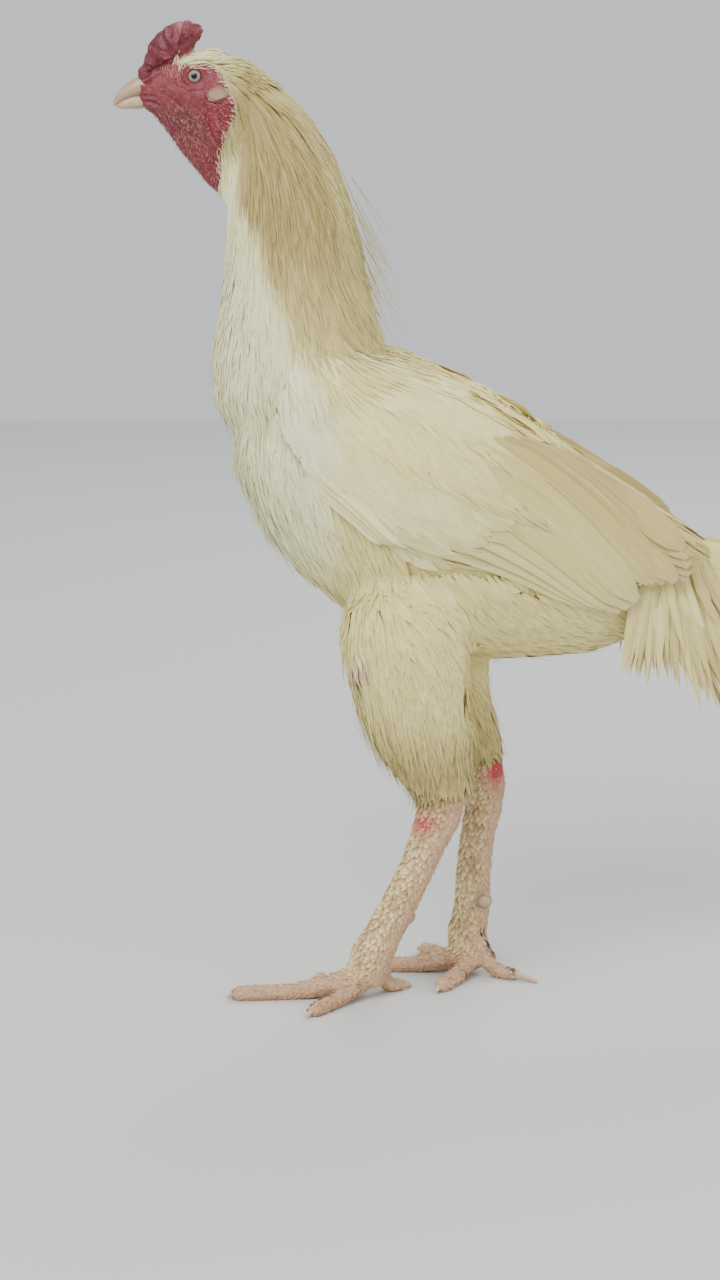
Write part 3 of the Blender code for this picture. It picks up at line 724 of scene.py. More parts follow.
class Coat:
    # The finished skin, as what the feathers grow from.
    def __init__(self, mesh, points, kind, depth):
        self.corners, loops = trianglesOf(mesh)
        self.points = points
        self.normals = normalsOf(mesh)
        self.uv = valuesOf(mesh.uv_layers["OFBake"].data, "uv", 2)[loops]
        self.tree = nodeBody(points, self.corners)
        self.kind, self.depth = kind, depth

    def nearest(self, spots):
        flat = spots.reshape(-1, 3)
        where = np.empty_like(flat)
        face = np.empty(len(flat), np.int64)
        for k, p in enumerate(flat.tolist()):
            hit = self.tree.find_nearest(p)
            where[k] = hit[0]
            face[k] = hit[2]
        share = self.shares(where, face)
        normal = unit((self.normals[self.corners[face]] * share[..., None]).sum(1))
        return where, normal, face, share

    def spans(self, face):
        # A corner of each of these triangles, and its two sides from there
        a, b, c = (self.points[self.corners[face, k]] for k in range(3))
        return a, b - a, c - a

    def onFaces(self, values):
        return values[self.corners].mean(1)

    def shares(self, where, face):
        # How far each place is made up of its triangle's three corners
        a, across, up = self.spans(face)
        to = where - a
        d00, d01, d11 = ((across**2).sum(1), (across * up).sum(1), (up**2).sum(1))
        d20, d21 = (to * across).sum(1), (to * up).sum(1)
        area = np.maximum(d00 * d11 - d01**2, 1e-12)
        v = np.clip((d11 * d20 - d01 * d21) / area, 0, 1)
        w = np.clip((d00 * d21 - d01 * d20) / area, 0, 1)
        return np.stack([1 - v - w, v, w], 1)

    def scatter(self, chosen, spacing, seed):
        # Roots on the chosen triangles, no two nearer than the spacing there.
        rng = np.random.default_rng(seed)
        a, across, up = self.spans(chosen)
        area = np.linalg.norm(np.cross(across, up), axis=1) / 2
        gap = np.broadcast_to(spacing, len(self.points))[self.corners[chosen]].mean(1)
        weight = area / gap**2
        tries = int(weight.sum() * 5)
        pick = rng.choice(len(chosen), tries, p=weight / weight.sum())
        u, v = rng.random(tries), rng.random(tries)
        over = u + v > 1
        u[over], v[over] = 1 - u[over], 1 - v[over]
        spots = a[pick] + across[pick] * u[:, None] + up[pick] * v[:, None]
        room = gap[pick]
        cell = max(0.5, float(room.max()))
        around = list(itertools.product((-1, 0, 1), repeat=3))
        grid, kept = {}, []
        keys = np.floor(spots / cell).astype(int).tolist()
        for k, ((x, y, z), (i, j, m)) in enumerate(zip(spots.tolist(), keys)):
            crowded = any(
                ((ox - x) ** 2 + (oy - y) ** 2 + (oz - z) ** 2) < room[k] ** 2
                for di, dj, dm in around for ox, oy, oz in grid.get((i + di, j + dj, m + dm), ()))
            if not crowded:
                grid.setdefault((i, j, m), []).append((x, y, z))
                kept.append(k)
        return spots[kept]


# The lie of the coat: at each (x, y, z), the way that feathers point

bodyFlow = np.array((
    (-128, 4, 700, 1.0, 0.0, 0.05), (-100, 10, 700, 1.0, 0.1, -0.2), (-70, 20, 680, 0.8, 0.1, -0.6),
    (-85, 25, 650, 0.35, 0.05, -0.93), (-25, 0, 620, 0.45, 0, -0.9), (-55, 40, 580, 0.12, 0, -1),
    (-95, 20, 590, 0.1, 0, -1), (-100, 0, 540, -0.02, 0, -1), (-50, 50, 500, 0.2, 0.05, -1),
    (0, 0, 530, 0.45, 0, -0.9), (30, 20, 470, 0.8, 0.1, -0.5), (-105, 0, 470, 0, 0, -1),
    (-100, 20, 420, 0.15, 0.05, -1), (-70, 20, 340, 0.45, 0, -0.9), (-60, 70, 400, 0.3, 0, -0.95),
    (100, 40, 440, 0.9, 0, -0.45), (40, 45, 470, 0.85, 0, -0.4), (160, 40, 410, 0.9, 0, -0.5),
    (-20, 0, 290, 0.9, 0, -0.4), (100, 0, 250, 1, 0, -0.05), (60, 70, 300, 0.55, 0, -0.8),
    (-10, 60, 330, 0.35, 0, -0.95),
    (190, 0, 255, 1, 0, -0.1), (100, 0, 440, 0.9, 0, -0.5), (200, 0, 375, 0.85, 0, -0.5),
    (210, 35, 330, 0.6, 0.05, -0.8), (250, 0, 340, 1, 0, -0.35), (0, 60, 290, 0.25, 0, -1),
    (25, 45, 230, 0.2, 0, -1), (55, 40, 180, 0.15, 0, -1), (90, 50, 220, 0.05, 0, -1)), float)
wingFlow = np.array((
    (-45, 75, 450, 0.35, 0, -0.9), (-20, 75, 400, 0.7, 0, -0.7), (40, 55, 484, 0.88, 0, -0.42),
    (110, 55, 442, 0.85, 0, -0.5), (170, 55, 402, 0.85, 0, -0.55), (40, 80, 430, 0.5, 0, -0.82),
    (100, 80, 410, 0.6, 0, -0.75), (60, 80, 385, 0.8, 0, -0.58), (80, 80, 340, 0.95, 0, -0.3),
    (190, 65, 350, 0.8, 0, -0.6)), float)


def flowAt(points, guides):
    flat = points.reshape(-1, 3).copy()
    mirror = np.where(flat[:, 1] < 0, -1.0, 1.0)
    flat[:, 1] = np.abs(flat[:, 1])
    away = ((flat[:, None, :] - guides[None, :, :3]) ** 2).sum(-1) + 100.0
    share = away**-2.0
    share /= share.sum(1, keepdims=True)
    way = share @ guides[:, 3:]
    way[:, 1] *= mirror
    return unit(way).reshape(points.shape)


def comb(coat, roots, length, lift, guides, rows=7, hold=0.8, turn=0.5, wander=0.12, base=0.3):
    # Lays a feather's middle line down from each root, along the skin and slowly away from it.
    rng = np.random.default_rng(1)
    count = len(roots)
    where, normal, face, share = coat.nearest(roots)
    way = flowAt(roots, guides) + rng.normal(0, wander, (count, 3))
    way = unit(way - normal * (way * normal).sum(1, keepdims=True))
    spot = where + normal * (lift * base)[:, None]
    middle, ups = [spot], [normal]
    step = (length / (rows - 1))[:, None]
    for k in range(1, rows):
        t = k / (rows - 1)
        ahead = spot + way * step
        near, n, _, _ = coat.nearest(ahead)
        height = (lift * (base + (1 - base) * t))[:, None]
        target = near + n * height
        spot = ahead + (target - ahead) * hold
        flow = flowAt(spot, guides)
        flow = flow - n * (flow * n).sum(1, keepdims=True)
        way = unit(way * (1 - turn) + unit(flow) * turn)
        middle.append(spot)
        ups.append(unit(ups[-1] * 0.4 + n * 0.6))
    return np.stack(middle, 1), np.stack(ups, 1), face, share


shapes = {
    # half width along a feather from root to tip, as shares of the widest
    "lance": ((0, 0.25), (0.2, 0.8), (0.45, 1.0), (0.7, 0.75), (0.9, 0.32), (1, 0.04)),
    "blade": ((0, 0.35), (0.2, 0.85), (0.5, 1.0), (0.82, 0.97), (0.94, 0.75), (1, 0.25)),
    "petal": ((0, 0.4), (0.25, 0.85), (0.5, 1.0), (0.75, 0.8), (0.92, 0.38), (1, 0.05)),
    "spear": ((0, 0.35), (0.15, 0.8), (0.4, 1.0), (0.65, 0.78), (0.85, 0.4), (1, 0.03)),
    "wisp": ((0, 0.7), (0.3, 1.0), (0.7, 0.7), (1, 0.08)),
    "scale": ((0, 0.6), (0.25, 0.95), (0.6, 1.0), (0.85, 0.8), (1, 0.35)),
}


def layVanes(name, coat, middle, ups, wide, thick, shape, tint, root, finish, crown=0.15,
             rag=0.12, soft=0.7):
    # Closed, lens-thin blades: four points to a row, a row at each point of the middle line. Their
    # normals lean towards the coat's own by the share soft, so that many blades read as one surface.
    rng = np.random.default_rng(3)
    count, rows, _ = middle.shape
    along = np.linspace(0, 1, rows)
    way = unit(np.gradient(middle, axis=1))
    up = unit(ups - way * (ups * way).sum(-1, keepdims=True))
    side = unit(np.cross(up, way))
    half = lineAt(shapes[shape], along)[None, :] * wide[:, None]
    left = half * (1 + rng.normal(0, rag, half.shape))
    right = half * (1 + rng.normal(0, rag, half.shape))
    body = thick * np.interp(along, (0, 0.15, 0.8, 1), (0.6, 1, 0.8, 0.25))
    body = np.broadcast_to(body, half.shape)[..., None]
    drop = (half * crown)[..., None]
    points = np.stack([
        middle - side * left[..., None] - up * drop, middle + up * body,
        middle + side * right[..., None] - up * drop, middle - up * body * 0.4], axis=2)
    index = np.arange(count * rows * 4).reshape(count, rows, 4)
    turned = np.roll(index, -1, axis=2)
    walls = np.stack([index[:, :-1], index[:, 1:], turned[:, 1:], turned[:, :-1]], -1).reshape(-1, 4)
    faces = np.concatenate([walls, index[:, 0], index[:, -1, ::-1]]).astype(np.int32)

    mesh = bpy.data.meshes.new(name)
    mesh.vertices.add(points.size // 3)
    mesh.vertices.foreach_set("co", toFrame(points.reshape(-1, 3)).astype(np.float32).ravel())
    mesh.loops.add(faces.size)
    mesh.loops.foreach_set("vertex_index", faces.ravel())
    mesh.polygons.add(len(faces))
    mesh.polygons.foreach_set("loop_start", np.arange(0, faces.size, 4, dtype=np.int32))
    mesh.update(calc_edges=True)
    shadeSmooth(mesh)
    over = up * (1 - soft) + unit(ups) * soft
    lean = side * (0.05 + crown) * (1 - soft * 0.6)
    above = np.stack([over - lean, over, over + lean, over], 2).reshape(-1, 3)
    below = np.stack([-over - lean, -over, -over + lean, -over], 2).reshape(-1, 3)
    roof = np.tile(np.repeat((True, True, False, False), 4), len(walls) // 4)
    corner = np.where(roof[:, None], above[walls.ravel()], below[walls.ravel()])
    caps = np.concatenate([-way[:, 0].repeat(4, axis=0), way[:, -1].repeat(4, axis=0)])
    mesh.normals_split_custom_set(unit(np.concatenate([corner, caps])))

    across = np.broadcast_to(np.array((-1.0, 0, 1, 0)), (count, rows, 4))
    length = np.broadcast_to(along[None, :, None], across.shape)
    chance = np.broadcast_to(rng.random(count)[:, None, None], across.shape)
    addMask(mesh, "vane", np.stack([across, length, chance], -1), "FLOAT_VECTOR")
    tints = np.broadcast_to(tint[:, None, None, :], (count, rows, 4, 3))
    addMask(mesh, "tint", tints, "FLOAT_VECTOR")
    face, share = root
    patch = (coat.uv[face] * share[..., None]).sum(1)
    local = np.stack([across, length * 2 - 1], -1).reshape(-1, 2) * 0.0015
    spread = patch.repeat(rows * 4, axis=0) + local
    layer = mesh.uv_layers.new(name="OFBake")
    layer.data.foreach_set("uv", spread[faces.ravel()].astype(np.float32).ravel())
    mesh.materials.append(finish)
    obj = inScene(name, mesh)
    print(name, count, "vanes", len(faces) * 2, "triangles")
    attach(obj, "root")
    return obj


# The pale front of the neck lies ahead of frontLine, and the nape's pale edge behind napeLine, both
# as (z, x).
frontLine = ((440, -20), (484, -38), (500, -52), (520, -58), (540, -66), (560, -74), (580, -80),
             (594, -92))
napeLine = ((480, 27), (500, 18), (555, 0), (600, -10), (638, -25), (657, -37), (675, -53), (687, -72),
            (697, -88))
# Colours of the coat. Each vane has a share of warm buff, of shade and of cool white, and warm above
# 1 stands for the sparse, pinkish place on the thigh.
coatLook = {"cream": (0.88, 0.76, 0.29), "cool": (0.87, 0.88, 0.53), "buff": (0.30, 0.20, 0.035),
            "sparse": (0.60, 0.40, 0.32)}


def tintAt(points, kind, rng):
    x, z = points[:, 0], points[:, 2]
    ahead = smoothStep(lineAt(frontLine, z) - x, -12, 9) * (1 - 0.4 * smoothStep(z, 585, 605))
    neck = np.isin(kind, ("neck", "head")) * smoothStep(z, 470, 490)
    buff = neck * (0.52 + 0.36 * smoothStep(z, 500, 580)) * (1 - ahead)
    nape = smoothStep(x - lineAt(napeLine, z), -20, -4)
    warm = np.maximum(buff * (1 - 0.5 * nape), 0.16)
    warm = np.where(z > 692, 0.2 + 0.35 * smoothStep(x, -118, -80), warm)
    wing = np.char.startswith(kind.astype(str), "wing")
    patch = np.exp(-(((x - 38) / 60) ** 2 + ((z - 423 + (x - 38) * 0.3) / 30) ** 2))
    warm = np.where(wing, 0.01 + 0.15 * patch + 0.72 * smoothStep(x - z * 0.6, -220, 10), warm)
    warm = np.where((kind == "trunk") & (x > 150) & (z > 325), 0.5, warm)
    breast = ahead * smoothStep(z, 290, 350) * (x < 20)
    warm = warm * (1 - 0.8 * breast)
    rear = smoothStep(345 - z, 0, 40) * smoothStep(x, 10, 70)
    warm = warm + (0.06 - warm) * rear * ~wing
    legs = smoothStep(235 - z, 0, 50)
    warm = warm + (0.70 - warm) * legs
    cool = breast * 0.85 + wing * 0.45 * (1 - patch) * (1 - smoothStep(x, 20, 150))
    shade = np.clip(rng.normal(0.22, 0.18, len(x)), 0, 1) * (1 - 0.7 * wing * smoothStep(110 - x, 0, 60))
    warm = np.clip(warm + rng.normal(0, 0.07, len(x)), 0, 1)
    warm = np.where(barePatch(points) > rng.uniform(0.1, 1.4, len(x)), 1.5, warm)
    return np.stack([warm, shade, cool], 1)


def coatColour(f, tint):
    warm, _, cool = f.split(tint)
    colour = f.mix(coatLook["cream"], coatLook["cool"], cool)
    colour = f.mix(colour, coatLook["buff"], warm)
    return f.mix(colour, coatLook["sparse"], f.spread(warm, 1.2, 1.4))


def plumageFinish(name, streak=1.0, sheen=0.1, edge=0.0):
    f = Finish(name)
    across, along, chance = f.split(f.mask("vane", 1))
    tint = f.mask("tint", 1)
    warm, shade, _ = f.split(tint)
    colour = coatColour(f, tint)
    lines = f.noise(1.0, 3.0, f.join(across * 5.0 + chance * 91.0, along * 1.4, chance * 53.0), 0.6)
    streaks = f.spread(lines, 0.54, 0.82) * (0.34 * streak) * (0.35 + warm)
    colour = f.mix(colour, (0.40, 0.30, 0.14), streaks)
    colour = f.mix(colour, (0.90, 0.86, 0.66), f.spread(lines, 0.5, 0.2) * 0.3)
    # Painted shade: each feather is darker towards its root, where the feathers over it would shade it;
    # shade also darkens some feathers more than others at random.
    colour = f.mix(colour, (0.42, 0.34, 0.18), shade * 0.22 * (1 - along * 0.6))
    if edge:
        # Darker, browner edges and tips: partly the flight feathers' own brown rims, partly painted shade
        # for the shadow line where each feather overlaps the next.
        rim = f.spread(across * across, 0.5, 1.0) * 0.8 + f.spread(along, 0.84, 1.0)
        colour = f.mix(colour, (0.46, 0.36, 0.19), rim * edge)
    shaft = f.spread(across * across, 0.02, 0.0)
    colour = f.mix(colour, (0.90, 0.84, 0.62), shaft * 0.3)
    barbs = (across * across * 9.0 + along * 260.0 + across * 14.0).sine()
    fluff = f.noise(1.0, 2.0, f.join(across * 14.0, along * 30.0, chance * 40.0))
    relief = f.bump(barbs * 0.3 + fluff, 0.0003, 0.4)
    return f.surface(Base_Color=colour, Roughness=0.72 + shade * 0.15, Normal=relief,
                     Sheen_Weight=sheen, Sheen_Roughness=0.6)


print("skin starts")
skinMesh, skinPoints, skinKind, skinDepth, skinMasks = makeSkin()
skinPoints = carveHead(skinMesh, skinPoints, skinMasks)
skinMasks.update(skinMarks(skinPoints))
setPoints(skinMesh, toFrame(skinPoints))
for maskName, maskValues in skinMasks.items():
    addMask(skinMesh, maskName, maskValues)
addMask(skinMesh, "tint", tintAt(skinPoints, skinKind, np.random.default_rng(2)), "FLOAT_VECTOR")
skinMesh.name = "skin"
skin = inScene("skin", skinMesh)
shadeSmooth(skinMesh)
skinMesh.materials.clear()
skinMesh.materials.append(skinFinish())
skinMesh.uv_layers.new(name="OFBake")
bpy.context.view_layer.objects.active = skin
skin.select_set(True)
bpy.ops.object.mode_set(mode="EDIT")
bpy.ops.mesh.select_all(action="SELECT")
bpy.ops.uv.smart_project(angle_limit=math.radians(70), island_margin=0.002)
bpy.ops.object.mode_set(mode="OBJECT")
print("skin unwrapped", len(skinMesh.polygons))
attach(skin, "root")
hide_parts(*skinSources)
coat = Coat(skinMesh, skinPoints, skinKind, skinDepth)
print("skin done")

# Coat by regions

bodyFinish = plumageFinish("plumage", 0.5, 0.05)
wingFinish = plumageFinish("wingCoverts", 0.25, 0.0)
hackleFinish = plumageFinish("hackle", 1.6, 0.05)
triKind = coat.kind[coat.corners[:, 0]]
triSpot = coat.onFaces(coat.points)
triNormal = unit(coat.onFaces(coat.normals))
triMasks = {key: coat.onFaces(values) for key, values in skinMasks.items()}
triX, triY, triZ = triSpot.T
triAhead = lineAt(frontLine, triZ) - triX
clothed = np.maximum.reduce([triMasks[key] for key in ("bare", "comb", "lobe", "leg")]) < 0.5
faceEdge = np.maximum.reduce([triMasks[key] for key in ("comb", "lobe", "leg")]) < 0.3
isNeck = faceEdge & (triMasks["bare"] < 0.9) & np.isin(triKind, ("neck", "head"))
isTrunk = triKind == "trunk"
isThigh = triKind == "thigh"
isWing = triKind == "wing"
frontTrunk = isTrunk & (triX < 25)
rearTrunk = isTrunk & (triX >= 25)
outerSide = triNormal[:, 1] * np.sign(triY) > -0.3

# The wing's coverts end at zoneEnd, as (z, x), along an uneven edge.
zoneEnd = ((340, 16), (360, 28), (380, 48), (400, 74), (420, 104), (440, 134), (460, 150))
ragged = 11 * np.sin(triX * 0.31 + triZ * 0.17) * np.sin(triZ * 0.23 - triX * 0.11)
fringed = 26 * np.sin(triX * 1.7 + triZ * 2.3) * np.sin(triZ * 1.9 - triX * 1.1)
zoneReach = lineAt(zoneEnd, triZ) + ragged - triX
onShoulder = (isWing | isTrunk) & (np.abs(lineAt(wingTop, triX) - triZ) < 12) & (triNormal[:, 2] > 0.05)

usualLook = {
    # what a region's row leaves out; lift and base are shares of the coat's depth, crown is how far
    # the edges droop, as a share of the half width, and rag is how uneven they are
    "shape": "petal", "thick": 0.12, "base": 0.5, "lift": 1.0, "hold": 0.8, "turn": 0.5, "crown": 0.15,
    "rag": 0.12, "soft": 0.7, "finish": bodyFinish}
regions = {
    # spacing, length, half width and thickness in mm
    "crown": {"where": isNeck & (triZ > 676) & (triX > -132), "spacing": 1.5, "length": (8, 16),
              "wide": (0.6, 1.0), "shape": "lance", "thick": 0.15, "wander": 0.10, "base": 0.45,
              "soft": 0.85},
    "hackle": {"where": isNeck & (triZ <= 680) & (triX > -112) & (triAhead < 8), "spacing": 2.3,
               "length": (32, 66), "wide": (1.0, 1.9), "shape": "lance", "thick": 0.18, "wander": 0.08,
               "base": 0.4, "finish": hackleFinish},
    "throat": {"where": isNeck & (triZ <= 620) & (triX > -112) & (triAhead >= 8), "spacing": 2.5,
               "length": (20, 32), "wide": (1.3, 2.2), "shape": "lance", "thick": 0.16, "wander": 0.09,
               "base": 0.4},
    "breast": {"where": frontTrunk, "spacing": 4.4, "length": (22, 34), "wide": (3.2, 4.8),
               "thick": 0.10, "wander": 0.06, "lift": 0.9, "crown": 0.05},
    "breast_down": {"where": frontTrunk, "spacing": 4.5, "length": (18, 28), "wide": (1.2, 2.2),
                    "shape": "lance", "wander": 0.13, "base": 0.7, "lift": 1.03, "crown": 0.08},
    "back": {"where": rearTrunk & (triZ > 330) & (triNormal[:, 2] > 0.1) & (triX < 172),
             "spacing": 4.0, "length": (28, 42), "wide": (2.8, 4.2), "thick": 0.08, "wander": 0.04,
             "base": 0.75, "lift": 0.65, "crown": 0.12, "soft": 0.85, "finish": wingFinish},
    "scapulars": {"where": onShoulder & (triX < 150) & (triX > 5), "spacing": 4.3,
                  "length": (30, 46), "wide": (3.0, 4.6), "thick": 0.08, "wander": 0.03, "base": 0.85,
                  "lift": 0.7, "crown": 0.12, "soft": 0.85, "finish": wingFinish},
    "thigh_down": {"where": isThigh & (triZ > 205), "spacing": 4.6, "length": (16, 26),
                   "wide": (0.9, 1.7), "shape": "lance", "thick": 0.10, "wander": 0.14, "base": 0.65,
                   "lift": 1.02, "crown": 0.08},
    "rump": {"where": isTrunk & (triX > 165) & (triZ > 330) & (np.abs(triY) < 30), "spacing": 4.4,
             "length": (52, 88), "wide": (2.6, 4.4), "shape": "spear", "thick": 0.2, "wander": 0.08,
             "lift": 1.5, "hold": 0.3, "turn": 0.25, "finish": hackleFinish},
    "belly": {"where": (rearTrunk | (isWing & ~outerSide)) & (triZ <= 330), "spacing": 3.1,
              "length": (22, 36), "wide": (1.8, 3.2), "wander": 0.17, "crown": 0.08},
    "thighs": {"where": isThigh & (triZ > 185), "spacing": 3.0, "length": (22, 36), "wide": (1.8, 3.0),
               "wander": 0.12, "crown": 0.08},
    "hocks": {"where": isThigh & (triZ <= 200), "spacing": 1.7, "length": (6, 13), "wide": (0.8, 1.5),
              "thick": 0.08, "wander": 0.1, "lift": 0.7, "crown": 0.08},
    "coverts": {"where": isWing & outerSide & (zoneReach > 0), "spacing": 5.4, "length": (26, 52),
                "wide": (4.6, 7.4), "thick": 0.05, "wander": 0.03, "base": 0.88, "crown": 0.04,
                "rag": 0.03, "soft": 0.9, "finish": wingFinish},
    "covert_down": {"where": isWing & outerSide & (zoneReach + fringed > -22), "spacing": 4.0,
                    "length": (16, 34), "wide": (1.0, 2.0), "shape": "lance", "thick": 0.06,
                    "wander": 0.06, "base": 0.92, "lift": 1.02, "crown": 0.05, "finish": wingFinish},
}


# The coverts grow longer from the wing's shoulder, at from as (x, z), for this many mm on their way.
wingLine = {"from": (-58, 458), "way": (0.908, 0.419), "long": 150}


def growRegion(name, look):
    # The feathers of a region, as a piece for each side
    rng = np.random.default_rng(len(name) * 31 + 5)
    roots = coat.scatter(np.flatnonzero(look["where"]), look["spacing"], 11)
    _, _, face, _ = coat.nearest(roots)
    depth = coat.onFaces(coat.depth)[face]
    size = rng.random(len(roots)) * 0.5 + 0.25
    if name == "hackle":
        size = np.clip((690 - roots[:, 2]) / 130, 0, 1) * 0.8 + rng.random(len(roots)) * 0.2
    onWing = name.startswith("covert")
    if onWing:
        (x, z), way = wingLine["from"], wingLine["way"]
        along = (roots[:, 0] - x) * way[0] + (z - roots[:, 2]) * way[1]
        size = np.clip(along / wingLine["long"], 0, 1) * 0.7 + rng.random(len(roots)) * 0.3
    length, wide = between(look["length"], size), between(look["wide"], size)
    if name in ("thighs", "thigh_down", "hocks"):
        hem = (roots[:, 2] - hockEnd(roots)) * 1.03 + rng.normal(1, 2.6, len(roots))
        length = np.minimum(length, hem)
    kept = (length > 5) & (barePatch(roots) < rng.uniform(0.3, 1.9, len(roots)))
    roots, depth, length, wide = roots[kept], depth[kept], length[kept], wide[kept]
    uneven = 0.01 if onWing else 0.06
    lift = np.maximum(depth, 1.0) * look["lift"] * rng.uniform(1 - uneven, 1 + uneven / 2, len(roots))
    if onWing:
        lift = lift * (1 - 0.3 * np.clip((along[kept] - 60) / 100, 0, 1))
    middle, ups, face, share = comb(
        coat, roots, length, lift, wingFlow if onWing or name == "scapulars" else bodyFlow,
        wander=look["wander"], base=look["base"], hold=look["hold"], turn=look["turn"])
    tint = tintAt(middle[:, 4], triKind[face], rng)
    for side, sign in sides.items():
        own = (roots[:, 1] * sign) >= 0
        layVanes(f"{name}_{side}", coat, middle[own], ups[own], wide[own], look["thick"], look["shape"],
                 tint[own], (face[own], share[own]), look["finish"], crown=look["crown"],
                 rag=look["rag"], soft=look["soft"])


for regionName, regionLook in regions.items():
    growRegion(regionName, {**usualLook, **regionLook})

# Bristles of the face, and loose wisps of the coat

bristleLook = {
    # spacing, length, half width and rise in mm, of the fine bristles and of the small feathers at the
    # edge of the bare face
    "fine": {"spacing": 1.6, "length": (1.8, 4.0), "wide": 0.13, "stand": (0.4, 1.1)},
    "fringe": {"spacing": 1.15, "length": (3.5, 8.5), "wide": 0.34, "stand": (0.3, 1.2)},
}
faceFlow = np.array((
    (-140, 14, 688, -0.1, 0, 1), (-128, 16, 690, 0.3, 0, 1), (-105, 20, 686, 1, 0, 0.1),
    (-112, 20, 676, 1, 0, -0.2), (-100, 20, 672, 0.9, 0, -0.5), (-130, 16, 660, 0.5, 0, -0.8),
    (-120, 12, 640, 0.5, 0, -0.9), (-105, 12, 615, 0.3, 0, -1), (-150, 6, 655, 0.6, 0, -0.8),
    (-130, 2, 632, 0.4, 0, -1)), float)


def bristleFinish():
    f = Finish("bristles")
    _, along, chance = f.split(f.mask("vane", 1))
    warm, _, _ = f.split(f.mask("tint", 1))
    colour = f.mix((0.36, 0.10, 0.09), (0.66, 0.46, 0.36), f.spread(along * 0.6 + chance * 0.7, 0.3, 1.1))
    colour = f.mix(colour, (0.68, 0.55, 0.32), warm)
    return f.surface(Base_Color=colour, Roughness=0.6)


def growBristles():
    rng = np.random.default_rng(77)
    throat = smoothStep(664 - triZ, 0, 10)
    middleLine = bell(np.abs(triY), 4) * (triZ < 655)
    temple = smoothStep(triX, -112, -104) * (triZ > 655)
    lore = bell(triX + 137, 11) * bell(triZ - 688, 8)
    inside = np.minimum(*faceGaps(triSpot)) + 2.0 * np.sin(triZ * 1.3) * np.sin(triX * 0.9)
    wishes = {"fine": np.clip(0.08 + throat * 0.45 + middleLine + temple * 0.7 + lore * 1.2, 0, 1),
              "fringe": smoothStep(inside, 6.5, 0.5) * ((triZ > 612) & (triX > -134))}
    onFace = (triMasks["bare"] > 0.3) & (triMasks["comb"] + triMasks["lobe"] < 0.2)
    finish = bristleFinish()
    for name, look in bristleLook.items():
        wish = wishes[name]
        roots = coat.scatter(np.flatnonzero(onFace & (wish > 0.05)), look["spacing"], 5)
        _, _, face, _ = coat.nearest(roots)
        kept = rng.random(len(roots)) < wish[face]
        roots, face = roots[kept], face[kept]
        count = len(roots)
        length = rng.uniform(*look["length"], count)
        lift = rng.uniform(*look["stand"], count) + 1.4 * middleLine[face] * rng.random(count)
        white = np.clip((name == "fringe") * rng.uniform(0.5, 1, count) + 0.5 * lore[face], 0, 1)
        middle, ups, face, share = comb(
            coat, roots, length, lift, faceFlow, rows=4, wander=0.3, base=0.0)
        tint = np.stack([white, white * 0, white * 0], 1)
        layVanes(f"bristles_{name}", coat, middle, ups, np.full(count, look["wide"]), 0.2, "wisp", tint,
                 (face, share), finish, crown=0.0, rag=0.0)


growBristles()

wispLook = {
    # middle and reach of each group in mm, and its count; stand is how far the tips leave the coat,
    # in mm, and hold how closely the feathers follow it
    "nape": {"at": (-16, 0, 572), "reach": (20, 22, 30), "count": 48, "length": (40, 70),
             "stand": (12, 34), "hold": 0.5},
    "shoulder": {"at": (-20, 0, 500), "reach": (40, 60, 26), "count": 260, "length": (28, 50),
                 "stand": (4, 8), "hold": 0.6},
    "breast": {"at": (-85, 0, 390), "reach": (30, 50, 90), "count": 600, "length": (16, 30),
               "stand": (5, 11), "hold": 0.6},
    "belly": {"at": (20, 0, 290), "reach": (110, 60, 45), "count": 420, "length": (18, 32),
              "stand": (5, 9), "hold": 0.6},
    "thigh": {"at": (30, 0, 205), "reach": (45, 60, 45), "count": 600, "length": (18, 34),
              "stand": (5, 11), "hold": 0.6},
    "quills": {"at": (2, -44, 225), "reach": (9, 18, 24), "count": 34, "length": (30, 56),
               "stand": (7, 15), "hold": 0.3},
}


def growWisps():
    rng = np.random.default_rng(91)
    feathered = np.flatnonzero(clothed & ~isWing)
    _, across, up = coat.spans(feathered)
    area = np.linalg.norm(np.cross(across, up), axis=1)
    for name, look in wispLook.items():
        gap = (triSpot[feathered] - look["at"]) / look["reach"]
        weight = np.exp(-(gap**2).sum(1)) * area
        pickFace = rng.choice(feathered, look["count"], p=weight / weight.sum())
        mixShare = rng.dirichlet((1, 1, 1), look["count"])
        roots = (coat.points[coat.corners[pickFace]] * mixShare[..., None]).sum(1)
        length = rng.uniform(*look["length"], look["count"])
        stand = rng.uniform(*look["stand"], look["count"])
        room = np.where(roots[:, 2] < 260, (roots[:, 2] - hockEnd(roots)) * 1.1, 200)
        kept = (room > 8) & (barePatch(roots) < 0.3)
        roots, stand, length = roots[kept], stand[kept], np.minimum(length, room)[kept]
        middle, ups, face, share = comb(
            coat, roots, length, stand, bodyFlow, wander=0.2, base=0.4, hold=look["hold"], turn=0.35)
        tint = tintAt(roots, triKind[face], rng)
        wide = rng.uniform(0.4, 0.9, len(roots))
        layVanes(f"wisps_{name}", coat, middle, ups, wide, 0.25, "wisp", tint, (face, share),
                 hackleFinish, crown=0.1, rag=0.02)


growWisps()

# Wings

